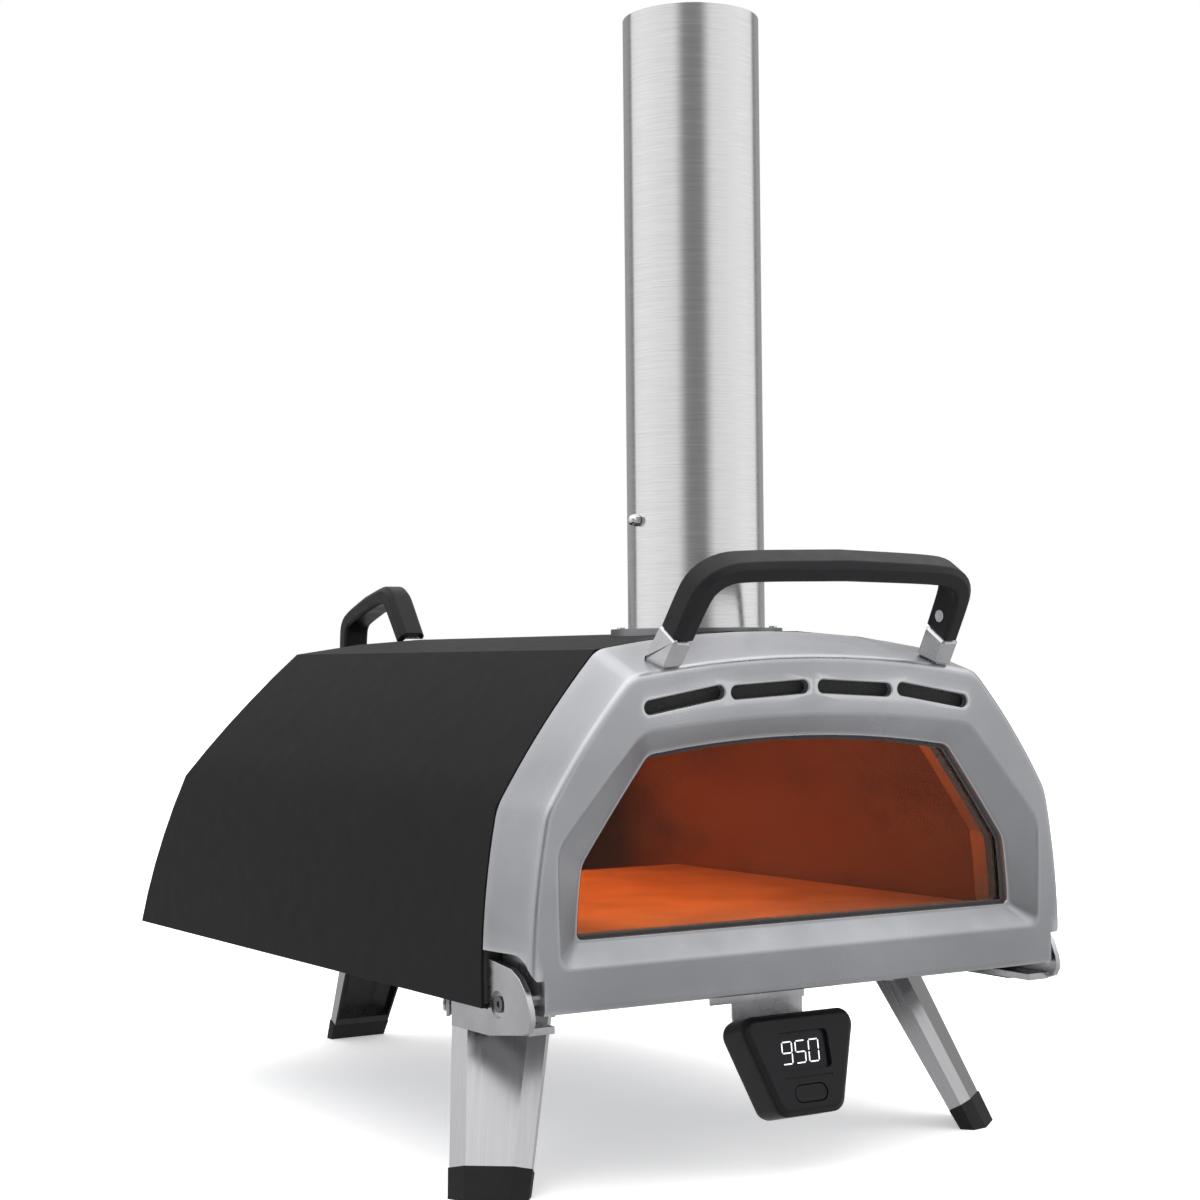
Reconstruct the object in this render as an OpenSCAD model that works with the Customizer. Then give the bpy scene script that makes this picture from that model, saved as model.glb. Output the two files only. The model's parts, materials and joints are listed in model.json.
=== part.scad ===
// Wood fired pizza oven on three folding legs.
// +Z is up, the door faces -Y, and +X is to the right seen from the front.
// Modules work with Y measured from the door's front plane and Z from the
// ground; at_row() then moves them so that the origin is under the middle.

/* [Shell] */
// Height of the shell's bottom edge above the ground
base_z = 132; // [128:0.5:136]
// Half width of the shell at its bottom edge
shell_half = 235.5; // [234:0.5:240]
// Half width of the shell at the bend in its sides
bend_half = 223.5; // [222:0.5:226]
// Height of the bend above the bottom edge
bend_rise = 132.5; // [130:0.5:136]
// Half width of the roof between its two top corners
roof_half = 144.5; // [142:0.5:147]
// Height of the top corners above the bottom edge
corner_rise = 237; // [235:0.5:240]
// How far the roof arches above its corners
roof_bow = 13; // [10:0.5:15]
// Distance from the door's front to the shell's front edge
shell_front = 57; // [57:0.1:60]
// Distance from the door's front to the shell's rear bottom edge
shell_rear = 679; // [670:1:685]
// Angle by which the rear edge leans forward
rear_rake = 29.7; // [28:0.1:31]
// Gap between the outer shell and the inner liner
wall_gap = 22; // [20:0.5:24]
// Thickness of the steel sheets
sheet = 2; // [1.5:0.1:2.2]

/* [Door] */
// Depth of the door casting
door_depth = 55.5; // [54:0.5:55.5]
// Wall thickness of the door casting
door_wall = 5; // [4:0.5:5]
// Distance from the door's front to its hinge axis
hinge_y = 13; // [12:0.5:14]
// Height of the hinge axis above the ground
hinge_z = 141; // [140:0.5:142]
// Radius of the two hinge pins
hinge_r = 4; // [3.5:0.5:4.5]
// Thickness of the window glass
glass_t = 5; // [4:0.5:5]

/* [Handles] */
// Tilt of the door handle away from the vertical
handle_tilt = 33; // [28:1:34]
// Depth of the grips, front to back
grip_depth = 25; // [24:1:28]
// Height of the door handle above the door
door_handle_rise = 91; // [90:1:93]
// Height of the hatch handle above its lid
hatch_handle_rise = 88; // [87:1:90]
// Half width of the aluminium feet under the grips
ferrule_half = 7.5; // [7:0.5:8]

/* [Chimney] */
// Height of the chimney's top above the ground
chimney_top = 845; // [800:5:860]
// Outside radius of the chimney
chimney_r = 51.4; // [50:0.1:52]
// Distance from the door's front to the chimney's axis
chimney_y = 143; // [140:1:150]
// Wall of the chimney tube
chimney_wall = 1.6; // [1.2:0.1:2]
// Height of the damper shaft above the ground
damper_z = 465; // [450:1:500]
// Radius of the damper shaft
shaft_r = 3; // [2.5:0.5:3.5]

/* [Legs] */
// Splay of each leg away from the vertical
leg_splay = 26.9; // [25:0.1:28]
// Heading of the front legs away from straight ahead
leg_heading = 38.5; // [36:0.5:40]
// Height of the leg pivots above the ground
leg_pivot_z = 120; // [119:0.5:120]
// Width of a leg at its top
leg_top_w = 69; // [68:1:72]
// Width of a leg at its foot
leg_foot_w = 54; // [52:1:58]
// Depth of the folded leg section at its top
leg_depth = 21; // [18:0.5:21]
// Height of the rubber feet
foot_h = 19; // [16:1:22]
// Sideways distance of the front leg pivots from the middle
front_pivot_x = 176.5; // [175:0.5:180]
// Distance from the door's front to the front leg pivots
front_pivot_y = 132.5; // [129:0.5:134]
// Distance from the door's front to the rear leg pivot
rear_pivot_y = 667; // [664:0.5:668]

/* [Fuel box] */
// Half width of the fuel box
box_half = 95; // [90:1:98]
// Distance from the door's front to the fuel box's rear wall
box_rear = 750; // [745:1:752]
// Slope of the lid, down towards the rear
lid_slope = 16; // [15:0.5:17]
// Number of air slots in the rear wall
air_slots = 5; // [4:1:5]

/* [Thermometer] */
// Width of the thermometer case at its top
hub_w = 96; // [90:1:98]
// Height of the thermometer case
hub_h = 71; // [68:1:72]
// Depth of the thermometer case
hub_d = 31; // [28:1:31]

/* [Hidden] */
$fn = 64;
eps = 0.01;
fit = 0.05;       // radial clearance of running pins
seat = 0.3;       // gap between neighbouring sheets
bow_steps = 5;    // straight pieces in each bowed edge
mid_y = 359.6;    // from the door's front plane to the middle of the whole oven
side_bow = 4;     // bow of the lower sides
cheek_bow = 3.3;  // bow of the upper sides

liner_inset = wall_gap;
floor_z = base_z + liner_inset + 1.5;         // top of the liner's floor
rail_h = 3;
stone_t = 15;
stone_w = 410;
stone_front = 63;

body_corners = [
  [shell_half, base_z],
  [bend_half, base_z + bend_rise],
  [roof_half, base_z + corner_rise]
];
body_bows = [side_bow, cheek_bow, roof_bow];
roof_top = base_z + corner_rise + roof_bow;

// The door follows the shell, and tapers towards its front.
door_front_corners = [[230, base_z], [218, 262.5], [151, 350.7]];
door_rear_corners = body_corners;
door_bows = [side_bow, cheek_bow, roof_bow - 0.3];
window_corners = [[188.5, 178], [184, 227], [131, 297.5]];
window_bows = [0.6, 0.6, 10];
recess_corners = [[207.5, 162], [209, 239], [142.5, 313]];
recess_bows = [0.6, 0.6, 9.5];
recess_depth = 12;
bezel_depth = 16;
glass_y = bezel_depth + 1.5;
retainer_y = glass_y + glass_t + 0.1;
retainer_t = 2;
liner_plate_y = door_depth - 2;

pocket_x = 220.5;          // the door's side is recessed to here beside each hinge bracket
pocket_top = 171;
bracket_x = 226.5;         // inner face of a hinge bracket
bracket_t = 4.5;

lid_front = [550, 372];    // front edge of the lid's top surface, in Y and Z
lid_len = 214;
lid_t = 3;
lid_hinge_r = 4;
lid_handle_at = 117;       // along the slope to the middle of its handle
hatch_axis = [lid_front[0] + 1, lid_front[1] + 0.5];

tray_front = 586;
tray_half = 82;
tray_h = 38;
tray_z = floor_z + 0.6;
face_t = 2;
vent_z = 228;
vent_slot = [8, 20];
vent_pitch = 22;

hub_tilt = 15;             // the display leans back
hub_front = 13;            // Y and Z of the middle of the case's front
hub_mid_z = 79;

leg_len = leg_pivot_z / cos(leg_splay);
leg_sheet = 2;
leg_face = 12;             // from the pivot to the leg's outer face
mount_t = 2.5;
leg_pin_r = 3;

// ---------- outlines ----------

// Outward normal of the edge from a to b, on a loop that runs anticlockwise
function edge_normal(a, b) = let (d = (b - a) / norm(b - a)) [d[1], -d[0]];

// Corner p moved inwards by t, between neighbours a and b
function inset_corner(a, p, b, t) =
  let (n1 = edge_normal(a, p), n2 = edge_normal(p, b))
  p - (n1 + n2) * t / (1 + n1 * n2);

function inset_loop(p, t) = let (n = len(p))
  [for (i = [0 : n - 1]) inset_corner(p[(i + n - 1) % n], p[i], p[(i + 1) % n], t)];

// Points from a to short of b, bowed outwards by rise
function bowed(a, b, rise) =
  [for (i = [0 : bow_steps - 1]) let (s = i / bow_steps)
    a + (b - a) * s + edge_normal(a, b) * 4 * rise * s * (1 - s)];

// The right half's three corners and their mirror images, anticlockwise
function both_halves(c) = concat(c, [for (i = [2 : -1 : 0]) [-c[i][0], c[i][1]]]);

// Arched outline inset by t: two bowed side edges, a bowed top, a straight bottom
function arched(c, bows, t = 0) =
  let (p = inset_loop(both_halves(c), t), r = [bows[0], bows[1], bows[2], bows[1], bows[0]])
  concat([for (i = [0 : 4]) each bowed(p[i], p[i + 1], r[i])], [p[5]]);

function body_outline(t) = arched(body_corners, body_bows, t);

// The door's outline at depth y, inset by t
function door_outline(y, t = 0) =
  let (s = y / door_depth)
  arched(door_front_corners * (1 - s) + door_rear_corners * s, door_bows, t);

function window_outline(t) = arched(window_corners, window_bows, t);
function recess_outline(t) = arched(recess_corners, recess_bows, t);

// Y of the shell's raked rear edge at height z
function rake_y(z) = shell_rear - (z - base_z) * tan(rear_rake);

// ---------- building blocks ----------

module at_row() {
  translate([0, -mid_y, 0]) children();
}

// An outline in X and Z, filled from y0 to y1
module front_slab(points, y0, y1) {
  translate([0, y1, 0]) rotate([90, 0, 0]) linear_extrude(y1 - y0) polygon(points);
}

// An outline in Y and Z, filled from x0 to x1
module side_slab(points, x0, x1) {
  translate([x0, 0, 0]) rotate([90, 0, 90]) linear_extrude(x1 - x0) polygon(points);
}

module rod_x(r, x0, x1) {
  translate([x0, 0, 0]) rotate([0, 90, 0]) cylinder(r = r, h = x1 - x0);
}

module rod_y(r, y0, y1) {
  translate([0, y1, 0]) rotate([90, 0, 0]) cylinder(r = r, h = y1 - y0);
}

module box(x, y, z) {
  translate([x[0], y[0], z[0]]) cube([x[1] - x[0], y[1] - y[0], z[1] - z[0]]);
}

// Everything behind the raked plane that lies inset in front of the shell's rear edge
module behind_rake(inset) {
  side_slab([[rake_y(60) - inset, 60], [900, 60], [900, 450], [rake_y(450) - inset, 450]], -300, 300);
}

module both_sides() {
  children();
  mirror([1, 0, 0]) children();
}

module flue_hole(r, z0, z1) {
  translate([0, chimney_y, z0]) cylinder(r = r, h = z1 - z0);
}

// ---------- body ----------

module outer_shell() {
  color("#26272a") difference() {
    front_slab(body_outline(0), shell_front, shell_rear);
    front_slab(body_outline(sheet), shell_front - 1, shell_rear + 1);
    box([-bracket_x + 4, bracket_x - 4], [shell_front - 1, shell_rear + 1], [base_z - 1, base_z + sheet + 1]);
    behind_rake(0);
    flue_hole(chimney_r + seat, roof_top - 20, roof_top + 5);
    at_collar_screws() translate([0, 0, roof_top - 20]) cylinder(r = 1.6, h = 40);
  }
}

module inner_liner() {
  color("#8d8a84") difference() {
    front_slab(body_outline(liner_inset), shell_front + 2.6, shell_rear);
    front_slab(body_outline(liner_inset + 1.5), shell_front, shell_rear + 1);
    behind_rake(9);
    flue_hole(chimney_r + seat, roof_top - 60, roof_top + 5);
    translate([0, 300, 232]) rod_x(3 + fit, -250, -150);
  }
}

module insulation_blanket() {
  color("#e6e2d6") difference() {
    front_slab(body_outline(sheet + seat), shell_front + 2.8, shell_rear);
    front_slab(body_outline(liner_inset - seat), shell_front, shell_rear + 1);
    box([-bracket_x, bracket_x], [shell_front, shell_rear + 1], [base_z - 1, base_z + 8.3]);
    behind_rake(11);
    flue_hole(chimney_r + 2, roof_top - 60, roof_top + 5);
    translate([0, 300, 232]) rod_x(6, -250, -150);
  }
}

module base_pan() {
  half = bracket_x - 4.3;
  color("#9a9c9e") difference() {
    box([-half, half], [shell_front + 2.6, shell_rear], [base_z, base_z + 8]);
    box([-half + sheet, half - sheet], [shell_front + 5, shell_rear - 13], [base_z + sheet, base_z + 9]);
    behind_rake(8);
  }
}

module front_frame() {
  color("#3a3a3c") difference() {
    front_slab(body_outline(sheet + seat), shell_front + 0.4, shell_front + 2.3);
    front_slab(body_outline(liner_inset + 3), shell_front, shell_front + 3);
  }
}

module rear_panel() {
  color("#2c2d30") difference() {
    intersection() {
      front_slab(body_outline(sheet + seat), shell_front + 300, shell_rear);
      difference() {
        behind_rake(8.6);
        behind_rake(6.6);
      }
    }
    box([-box_half - seat, box_half + seat], [400, 800], [base_z + liner_inset - 0.5, mouth_top + 0.3]);
    box([-bracket_x, bracket_x], [400, 800], [base_z - 1, base_z + 8.3]);
  }
}

module baking_stone() {
  color("#c9b99c") box([-stone_w / 2, stone_w / 2], [stone_front, stone_front + stone_w],
    [floor_z + rail_h, floor_z + rail_h + stone_t]);
}

module stone_rails() {
  color("#8d8a84") for (x = [-150, 0, 150])
    box([x - 10, x + 10], [stone_front + 10, stone_front + stone_w - 10], [floor_z, floor_z + rail_h]);
}

module temperature_probe() {
  color("#b9bcc0") translate([0, 300, 232]) {
    rod_x(3, -226.5, -176);
    rotate([0, 90, 0]) translate([0, 0, -204.2]) cylinder(r = 7, h = 4, $fn = 6);
  }
}

// ---------- fuel box ----------

// Height of the lid's top surface at y
function lid_z(y) = lid_front[1] - (y - lid_front[0]) * tan(lid_slope);

// The fuel box's side outline, in Y and Z: it passes through the rear panel and ends under the lid
mouth_top = 351;
function box_side() = let (drop = (lid_t + 0.6) / cos(lid_slope), low = base_z + liner_inset)
  [[rake_y(low) - 8.6, low], [box_rear, low], [box_rear, lid_z(box_rear) - drop],
   [lid_front[0] + 7, lid_z(lid_front[0] + 7) - drop], [rake_y(360) - 6.2, 360],
   [rake_y(mouth_top) - 6.2, mouth_top], [rake_y(mouth_top) - 8.6, mouth_top]];

module fuel_box() {
  wall = 1.6;
  color("#33343a") difference() {
    side_slab(box_side(), -box_half, box_half);
    box([-box_half + wall, box_half - wall], [400, box_rear - wall], [base_z + liner_inset + wall, 450]);
    box([-tray_half - 1, tray_half + 1], [box_rear - 4, box_rear + 1], [tray_z - 0.5, tray_z + tray_h + 1]);
    for (i = [0 : air_slots - 1]) let (x = (i - (air_slots - 1) / 2) * vent_pitch)
      box([x - vent_slot[0] / 2, x + vent_slot[0] / 2], [box_rear - 4, box_rear + 1],
        [vent_z - vent_slot[1] / 2, vent_z + vent_slot[1] / 2]);
    both_sides() translate([65, 0, vent_z]) rod_y(2, box_rear - 4, box_rear + 1);
  }
}

// Children drawn in the lid's own plane: x across, y down the slope, z out of the lid
module on_lid() {
  translate([0, lid_front[0], lid_front[1]]) rotate([-lid_slope, 0, 0]) children();
}

module fuel_hatch() {
  half = box_half + 2.5;
  color("#26272a") difference() {
    union() {
      on_lid() box([-half, half], [4.6, lid_len], [-lid_t, 0]);
      // turned-down edges
      on_lid() both_sides() box([half - 1.6, half], [14, lid_len], [-10, -lid_t]);
      on_lid() box([-half, half], [lid_len - 1.6, lid_len], [-10, -lid_t]);
      // hinge knuckles
      for (x = [-70, 0, 70]) {
        translate([0, hatch_axis[0], hatch_axis[1] - 4]) rod_x(lid_hinge_r, x - 14, x + 14);
        on_lid() box([x - 13, x + 13], [2.5, 8], [-lid_t + 0.4, -0.4]);
      }
    }
    translate([0, hatch_axis[0], hatch_axis[1] - 4]) rod_x(2 + fit, -100, 100);
    // notches for the fixed knuckles
    on_lid() both_sides() box([28.5, 55.5], [0, 7.5], [-8, 1]);
  }
}

module hatch_hinge_pin() {
  color("#b9bcc0") {
    translate([0, hatch_axis[0], hatch_axis[1] - 4]) rod_x(2, -92, 92);
    // fixed knuckles, each with a strap down to the rear panel
    for (x = [-42, 42]) difference() {
      union() {
        translate([0, hatch_axis[0], hatch_axis[1] - 4]) rod_x(lid_hinge_r, x - 13, x + 13);
        side_slab([[rake_y(356) - 6.5, 356], [rake_y(356) - 4.7, 356],
          [hatch_axis[0], hatch_axis[1] - 7], [hatch_axis[0] - 3, hatch_axis[1] - 4]], x - 13, x + 13);
      }
      translate([0, hatch_axis[0], hatch_axis[1] - 4]) rod_x(2, x - 14, x + 14);
    }
  }
}

// ---------- handles ----------

// A half outline, from its foot to the middle, and its mirror image
function mirror_half(half) = concat(half, [for (i = [len(half) - 1 : -1 : 0]) [-half[i][0], half[i][1]]]);

grip_t = 15.5;
door_grip_outer = mirror_half([[124.5, 27], [122, 60], [119.5, 69], [113.5, 78], [103, 84.5], [88, 88.5],
  [0, door_handle_rise]]);
door_grip_inner = mirror_half([[109, 26], [106, 58], [103.5, 65], [97, 71], [86, 74],
  [0, door_handle_rise - grip_t]]);
hatch_grip_outer = mirror_half([[75, 24], [58, 70], [54.5, 77], [48, 83], [39, 86],
  [0, hatch_handle_rise]]);
hatch_grip_inner = mirror_half([[58, 23], [43, 63], [40, 67.5], [34, 70.5],
  [0, hatch_handle_rise - grip_t - 1]]);

// A grip in its own plane: x along, z out, y through its depth
module grip(outer, inner, depth) {
  difference() {
    translate([0, depth / 2, 0]) rotate([90, 0, 0]) linear_extrude(depth) polygon(outer);
    translate([0, depth / 2 + 1, 0]) rotate([90, 0, 0]) linear_extrude(depth + 2) polygon(inner);
  }
}

// One foot of a handle: a block at x, leaning by lean, with a tongue into the grip
module ferrule(x, lean, low, top, tongue) {
  translate([x, 0, 0]) rotate([0, lean, 0]) {
    box([-ferrule_half, ferrule_half], [-grip_depth / 2 + 0.5, grip_depth / 2 - 0.5], [low, top]);
    box([-3.5, 3.5], [-8, 8], [top, tongue]);
  }
}

module tongue_socket(x, lean, top, tongue) {
  translate([x, 0, 0]) rotate([0, lean, 0]) box([-3.6, 3.6], [-8.1, 8.1], [top - 5, tongue + 0.3]);
}

module on_door_top() {
  translate([0, 13.4, 356]) rotate([handle_tilt, 0, 0]) children();
}

module door_block(t, y0, y1) {
  hull() {
    front_slab(door_outline(y0, t), y0, y0 + eps);
    front_slab(door_outline(y1, t), y1 - eps, y1);
  }
}

door_leg_x = 118.5;
door_leg_lean = -3.5;
door_leg_top = 28;
door_tongue = 52;

module door_ferrules() {
  color("#c9ccd0") difference() {
    on_door_top() both_sides() ferrule(door_leg_x, door_leg_lean, -20, door_leg_top, door_tongue);
    door_block(-0.02, -10, door_depth + 20);
    on_door_top() both_sides() translate([0, 0, 42]) rod_x(2, 90, 140);
  }
}

module door_grip() {
  color("#1b1b1d") difference() {
    on_door_top() grip(door_grip_outer, door_grip_inner, grip_depth);
    on_door_top() both_sides() tongue_socket(door_leg_x, door_leg_lean, door_leg_top, door_tongue);
    on_door_top() both_sides() translate([0, 0, 42]) {
      rod_x(2, 100, 122);
      rod_x(4.6, 100, 109);
    }
    on_door_top() both_sides() translate([door_leg_x, 0, 0]) rotate([0, door_leg_lean, 0])
      box([-30, 30], [-30, 30], [door_leg_top - 20, door_leg_top]);
  }
}

module door_handle_screws() {
  color("#b9bcc0") on_door_top() both_sides() translate([0, 0, 42]) {
    rod_x(1.95, 108.9, 119);
    rod_x(4.4, 106.8, 108.9);
  }
}

module on_hatch_handle() {
  on_lid() translate([0, lid_handle_at, 0]) rotate([0, 0, 90]) children();
}

hatch_leg_x = 75;
hatch_leg_lean = -21;
hatch_leg_top = 25;
hatch_tongue = 48;

module hatch_ferrules() {
  color("#c9ccd0") difference() {
    on_hatch_handle() both_sides() ferrule(hatch_leg_x, hatch_leg_lean, -10, hatch_leg_top, hatch_tongue);
    on_lid() box([-150, 150], [-50, 300], [-30, 0.05]);
    on_hatch_handle() both_sides() translate([0, 0, 38]) rod_x(2, 30, 80);
  }
}

module hatch_grip() {
  color("#1b1b1d") difference() {
    on_hatch_handle() grip(hatch_grip_outer, hatch_grip_inner, grip_depth);
    on_hatch_handle() both_sides() tongue_socket(hatch_leg_x, hatch_leg_lean, hatch_leg_top, hatch_tongue);
    on_hatch_handle() both_sides() translate([0, 0, 38]) {
      rod_x(2, 44, 62);
      rod_x(4.6, 35, 54);
    }
    on_hatch_handle() both_sides() translate([hatch_leg_x, 0, 0]) rotate([0, hatch_leg_lean, 0])
      box([-30, 30], [-30, 30], [hatch_leg_top - 20, hatch_leg_top]);
  }
}

module hatch_handle_screws() {
  color("#b9bcc0") on_hatch_handle() both_sides() translate([0, 0, 38]) {
    rod_x(1.95, 53.9, 62);
    rod_x(4.4, 51.9, 53.9);
  }
}

// ---------- fuel tray and air vent ----------

module fuel_tray() {
  color("#77787a") difference() {
    union() {
      box([-tray_half, tray_half], [tray_front, box_rear + 0.3], [tray_z, tray_z + tray_h]);
      box([-tray_half - 10, tray_half + 10], [box_rear + 0.3, box_rear + 0.3 + face_t],
        [tray_z - 4, tray_z + tray_h + 8]);
    }
    box([-tray_half + 1.5, tray_half - 1.5], [tray_front + 1.5, box_rear - 2],
      [tray_z + 1.5, tray_z + tray_h + 1]);
    both_sides() translate([22, 0, tray_z + 24]) rod_y(2, box_rear - 5, box_rear + 4);
  }
}

module fuel_grate() {
  y0 = tray_front + 3;
  y1 = box_rear - 4;
  pitch = 12;
  rows = floor((y1 - y0 - 16) / pitch);
  color("#4a4a4c") difference() {
    union() {
      box([-tray_half + 3, tray_half - 3], [y0, y1], [tray_z + 20, tray_z + 22]);
      for (x = [-tray_half + 3, tray_half - 5]) box([x, x + 2], [y0, y1], [tray_z + 1.6, tray_z + 20]);
    }
    for (i = [0 : rows - 1]) let (y = y0 + 10 + i * pitch) {
      box([-tray_half + 14, -4], [y, y + 6], [tray_z + 19, tray_z + 23]);
      box([4, tray_half - 14], [y, y + 6], [tray_z + 19, tray_z + 23]);
    }
  }
}

module tray_pull() {
  y = box_rear + face_t + 0.35;
  color("#b9bcc0") difference() {
    union() {
      box([-30, 30], [y, y + 1.6], [tray_z + 16, tray_z + 32]);
      box([-30, 30], [y, y + 13.5], [tray_z + 30.4, tray_z + 32]);
      both_sides() translate([22, 0, tray_z + 24]) rod_y(1.95, box_rear - 1, y + 3);
    }
  }
}

module vent_slider() {
  y = box_rear + 0.3;
  travel_slot = 16;
  color("#9a9c9e") difference() {
    union() {
      box([-84, 76], [y, y + 1.6], [vent_z - 15, vent_z + 15]);
      // finger tab, clear of the left stud at full travel
      box([-84, -82.4], [y, y + 12], [vent_z - 8, vent_z + 8]);
    }
    for (i = [0 : air_slots - 1]) let (x = (i - (air_slots - 1) / 2) * vent_pitch)
      box([x - vent_slot[0] / 2, x + vent_slot[0] / 2], [y - 1, y + 3],
        [vent_z - vent_slot[1] / 2, vent_z + vent_slot[1] / 2]);
    for (x = [-65, 65]) translate([x, 0, vent_z]) {
      rod_y(2.3, y - 1, y + 3);
      translate([-travel_slot + 4, 0, 0]) rod_y(2.3, y - 1, y + 3);
      box([-travel_slot + 4, 0], [y - 1, y + 3], [-2.3, 2.3]);
    }
  }
}

module vent_studs() {
  color("#b9bcc0") both_sides() translate([65, 0, vent_z]) {
    rod_y(1.95, box_rear - 3, box_rear + 2.2);
    rod_y(4, box_rear + 2.2, box_rear + 4.2);
  }
}

// ---------- chimney ----------

// The four collar screws' places
module at_collar_screws() {
  for (a = [45 : 90 : 315]) translate([58 * cos(a), chimney_y + 58 * sin(a), 0]) children();
}

module chimney_collar() {
  color("#8f9194") difference() {
    translate([0, chimney_y, roof_top - 12]) cylinder(r = 64.5, h = 14.5);
    front_slab(body_outline(-0.05), shell_front, 300);
    flue_hole(chimney_r + 0.1, roof_top - 60, roof_top + 20);
    at_collar_screws() translate([0, 0, roof_top - 20]) cylinder(r = 1.6, h = 40);
  }
}

module collar_screws() {
  color("#b9bcc0") at_collar_screws() {
    translate([0, 0, roof_top - 2]) cylinder(r = 1.55, h = 4.6);
    translate([0, 0, roof_top + 2.55]) cylinder(r = 3, h = 1.6);
  }
}

module chimney_tube() {
  color("#c4c6c9") difference() {
    flue_hole(chimney_r, roof_top - 21, chimney_top);
    flue_hole(chimney_r - chimney_wall, roof_top - 25, chimney_top + 1);
    translate([0, chimney_y, damper_z]) rod_x(shaft_r + fit, -60, 60);
  }
}

module at_damper() {
  translate([0, chimney_y, damper_z]) children();
}

module damper_plate() {
  color("#8d8a84") difference() {
    at_damper() {
      rod_y(chimney_r - chimney_wall - 2.5, -1, 1);
      rod_x(5, -38, 38);
    }
    at_damper() rod_x(shaft_r, -60, 60);
  }
}

module damper_shaft() {
  color("#b9bcc0") at_damper() rod_x(shaft_r, -57, 58);
}

module damper_nut() {
  color("#c9ccd0") at_damper() difference() {
    union() {
      rotate([0, -90, 0]) translate([0, 0, chimney_r + 0.4]) cylinder(r = 4.6, h = 4, $fn = 6);
      translate([-chimney_r - 4.4, 0, 0]) sphere(r = 4.1);
    }
    rod_x(shaft_r, -57, -40);
  }
}

module damper_lever() {
  color("#b9bcc0") at_damper() difference() {
    union() {
      rod_x(6, chimney_r + 0.5, chimney_r + 5);
      box([chimney_r + 2, chimney_r + 4], [0, 50], [-4, 4]);
      translate([0, 50, 0]) rod_x(4, chimney_r + 2, chimney_r + 4);
      translate([0, 46, 0]) rod_x(7, chimney_r + 4, chimney_r + 15);
    }
    rod_x(shaft_r, 40, 63);
  }
}

// ---------- door ----------

// Vent slots along the door's arch: x and z of the middle, and the tilt
slot_half = 28.5;
slot_r = 4.6;
vents = [[-108.5, 334.3, 9.5], [-37.3, 340.3, 3.2], [37.3, 340.3, -3.2], [108.5, 334.3, -9.5]];

module vent_slots() {
  for (v = vents) translate([v[0], 0, v[1]]) rotate([0, -v[2], 0]) {
    box([-slot_half, slot_half], [-1, 9], [-slot_r, slot_r]);
    for (x = [-slot_half, slot_half]) translate([x, 0, 0]) rod_y(slot_r, -1, 9);
  }
}

// Retainer screws around the window: x and z
retainer_points = [[85, 166.5], [201, 200], [166, 281.5], [60, 320]];

module door_frame() {
  color("#b4b7ba") difference() {
    union() {
      difference() {
        door_block(0, 0, door_depth);
        difference() {
          door_block(door_wall, door_wall, door_depth + 1);
          both_sides() box([pocket_x - 5.5, 260], [-1, 80], [base_z - 5, pocket_top + 5]);
        }
      }
      front_slab(recess_outline(-4), 0.5, bezel_depth);
      both_sides() for (p = retainer_points) translate([p[0], 0, p[1]]) rod_y(4.5, 3, retainer_y - 0.05);
    }
    hull() {
      front_slab(recess_outline(0), -0.1, 0);
      front_slab(window_outline(-1.5), recess_depth - eps, recess_depth);
    }
    front_slab(window_outline(0), 5, bezel_depth + 10);
    vent_slots();
    front_slab(window_outline(-10), bezel_depth, bezel_depth + 1.5);
    front_slab(window_outline(-9.3), bezel_depth, retainer_y + 0.1);
    both_sides() for (p = retainer_points) translate([p[0], 0, p[1]]) rod_y(1.5, 9, 40);
    // pockets for the hinge brackets
    both_sides() box([pocket_x, 260], [-1, 80], [base_z - 5, pocket_top - 22]);
    both_sides() box([pocket_x, 260], [21, 80], [base_z - 5, pocket_top]);
    both_sides() translate([0, 21, pocket_top - 22]) rod_x(22, pocket_x, 260);
    translate([0, hinge_y, hinge_z]) rod_x(hinge_r + fit, -260, 260);
  }
}

module window_gasket() {
  color("#111112") difference() {
    front_slab(window_outline(-8.5), bezel_depth + 0.05, glass_y - 0.05);
    front_slab(window_outline(2.5), bezel_depth - 1, glass_y + 1);
  }
}

module door_glass() {
  color("#a9744f", 0.45) front_slab(window_outline(-8.5), glass_y, glass_y + glass_t);
}

module glass_retainer() {
  color("#b9bcc0") difference() {
    front_slab(window_outline(-17), retainer_y, retainer_y + retainer_t);
    front_slab(window_outline(-1), retainer_y - 1, retainer_y + retainer_t + 1);
    both_sides() for (p = retainer_points)
      translate([p[0], 0, p[1]]) rod_y(1.6, retainer_y - 1, retainer_y + 5);
  }
}

module retainer_screws() {
  color("#b9bcc0") both_sides() for (p = retainer_points) translate([p[0], 0, p[1]]) {
    rod_y(1.45, retainer_y - 8, retainer_y + retainer_t + 0.05);
    rod_y(3.2, retainer_y + retainer_t + 0.05, retainer_y + retainer_t + 1.8);
  }
}

module door_liner() {
  color("#a7a39a") difference() {
    union() {
      front_slab(door_outline(door_depth, door_wall + 1.3), liner_plate_y, liner_plate_y + 1.5);
      front_slab(window_outline(-8), retainer_y + retainer_t + 3, liner_plate_y + 0.5);
    }
    front_slab(window_outline(-6.5), retainer_y, door_depth + 5);
    both_sides() box([pocket_x - 6, 260], [20, 80], [base_z - 5, pocket_top + 5.5]);
  }
}

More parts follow.
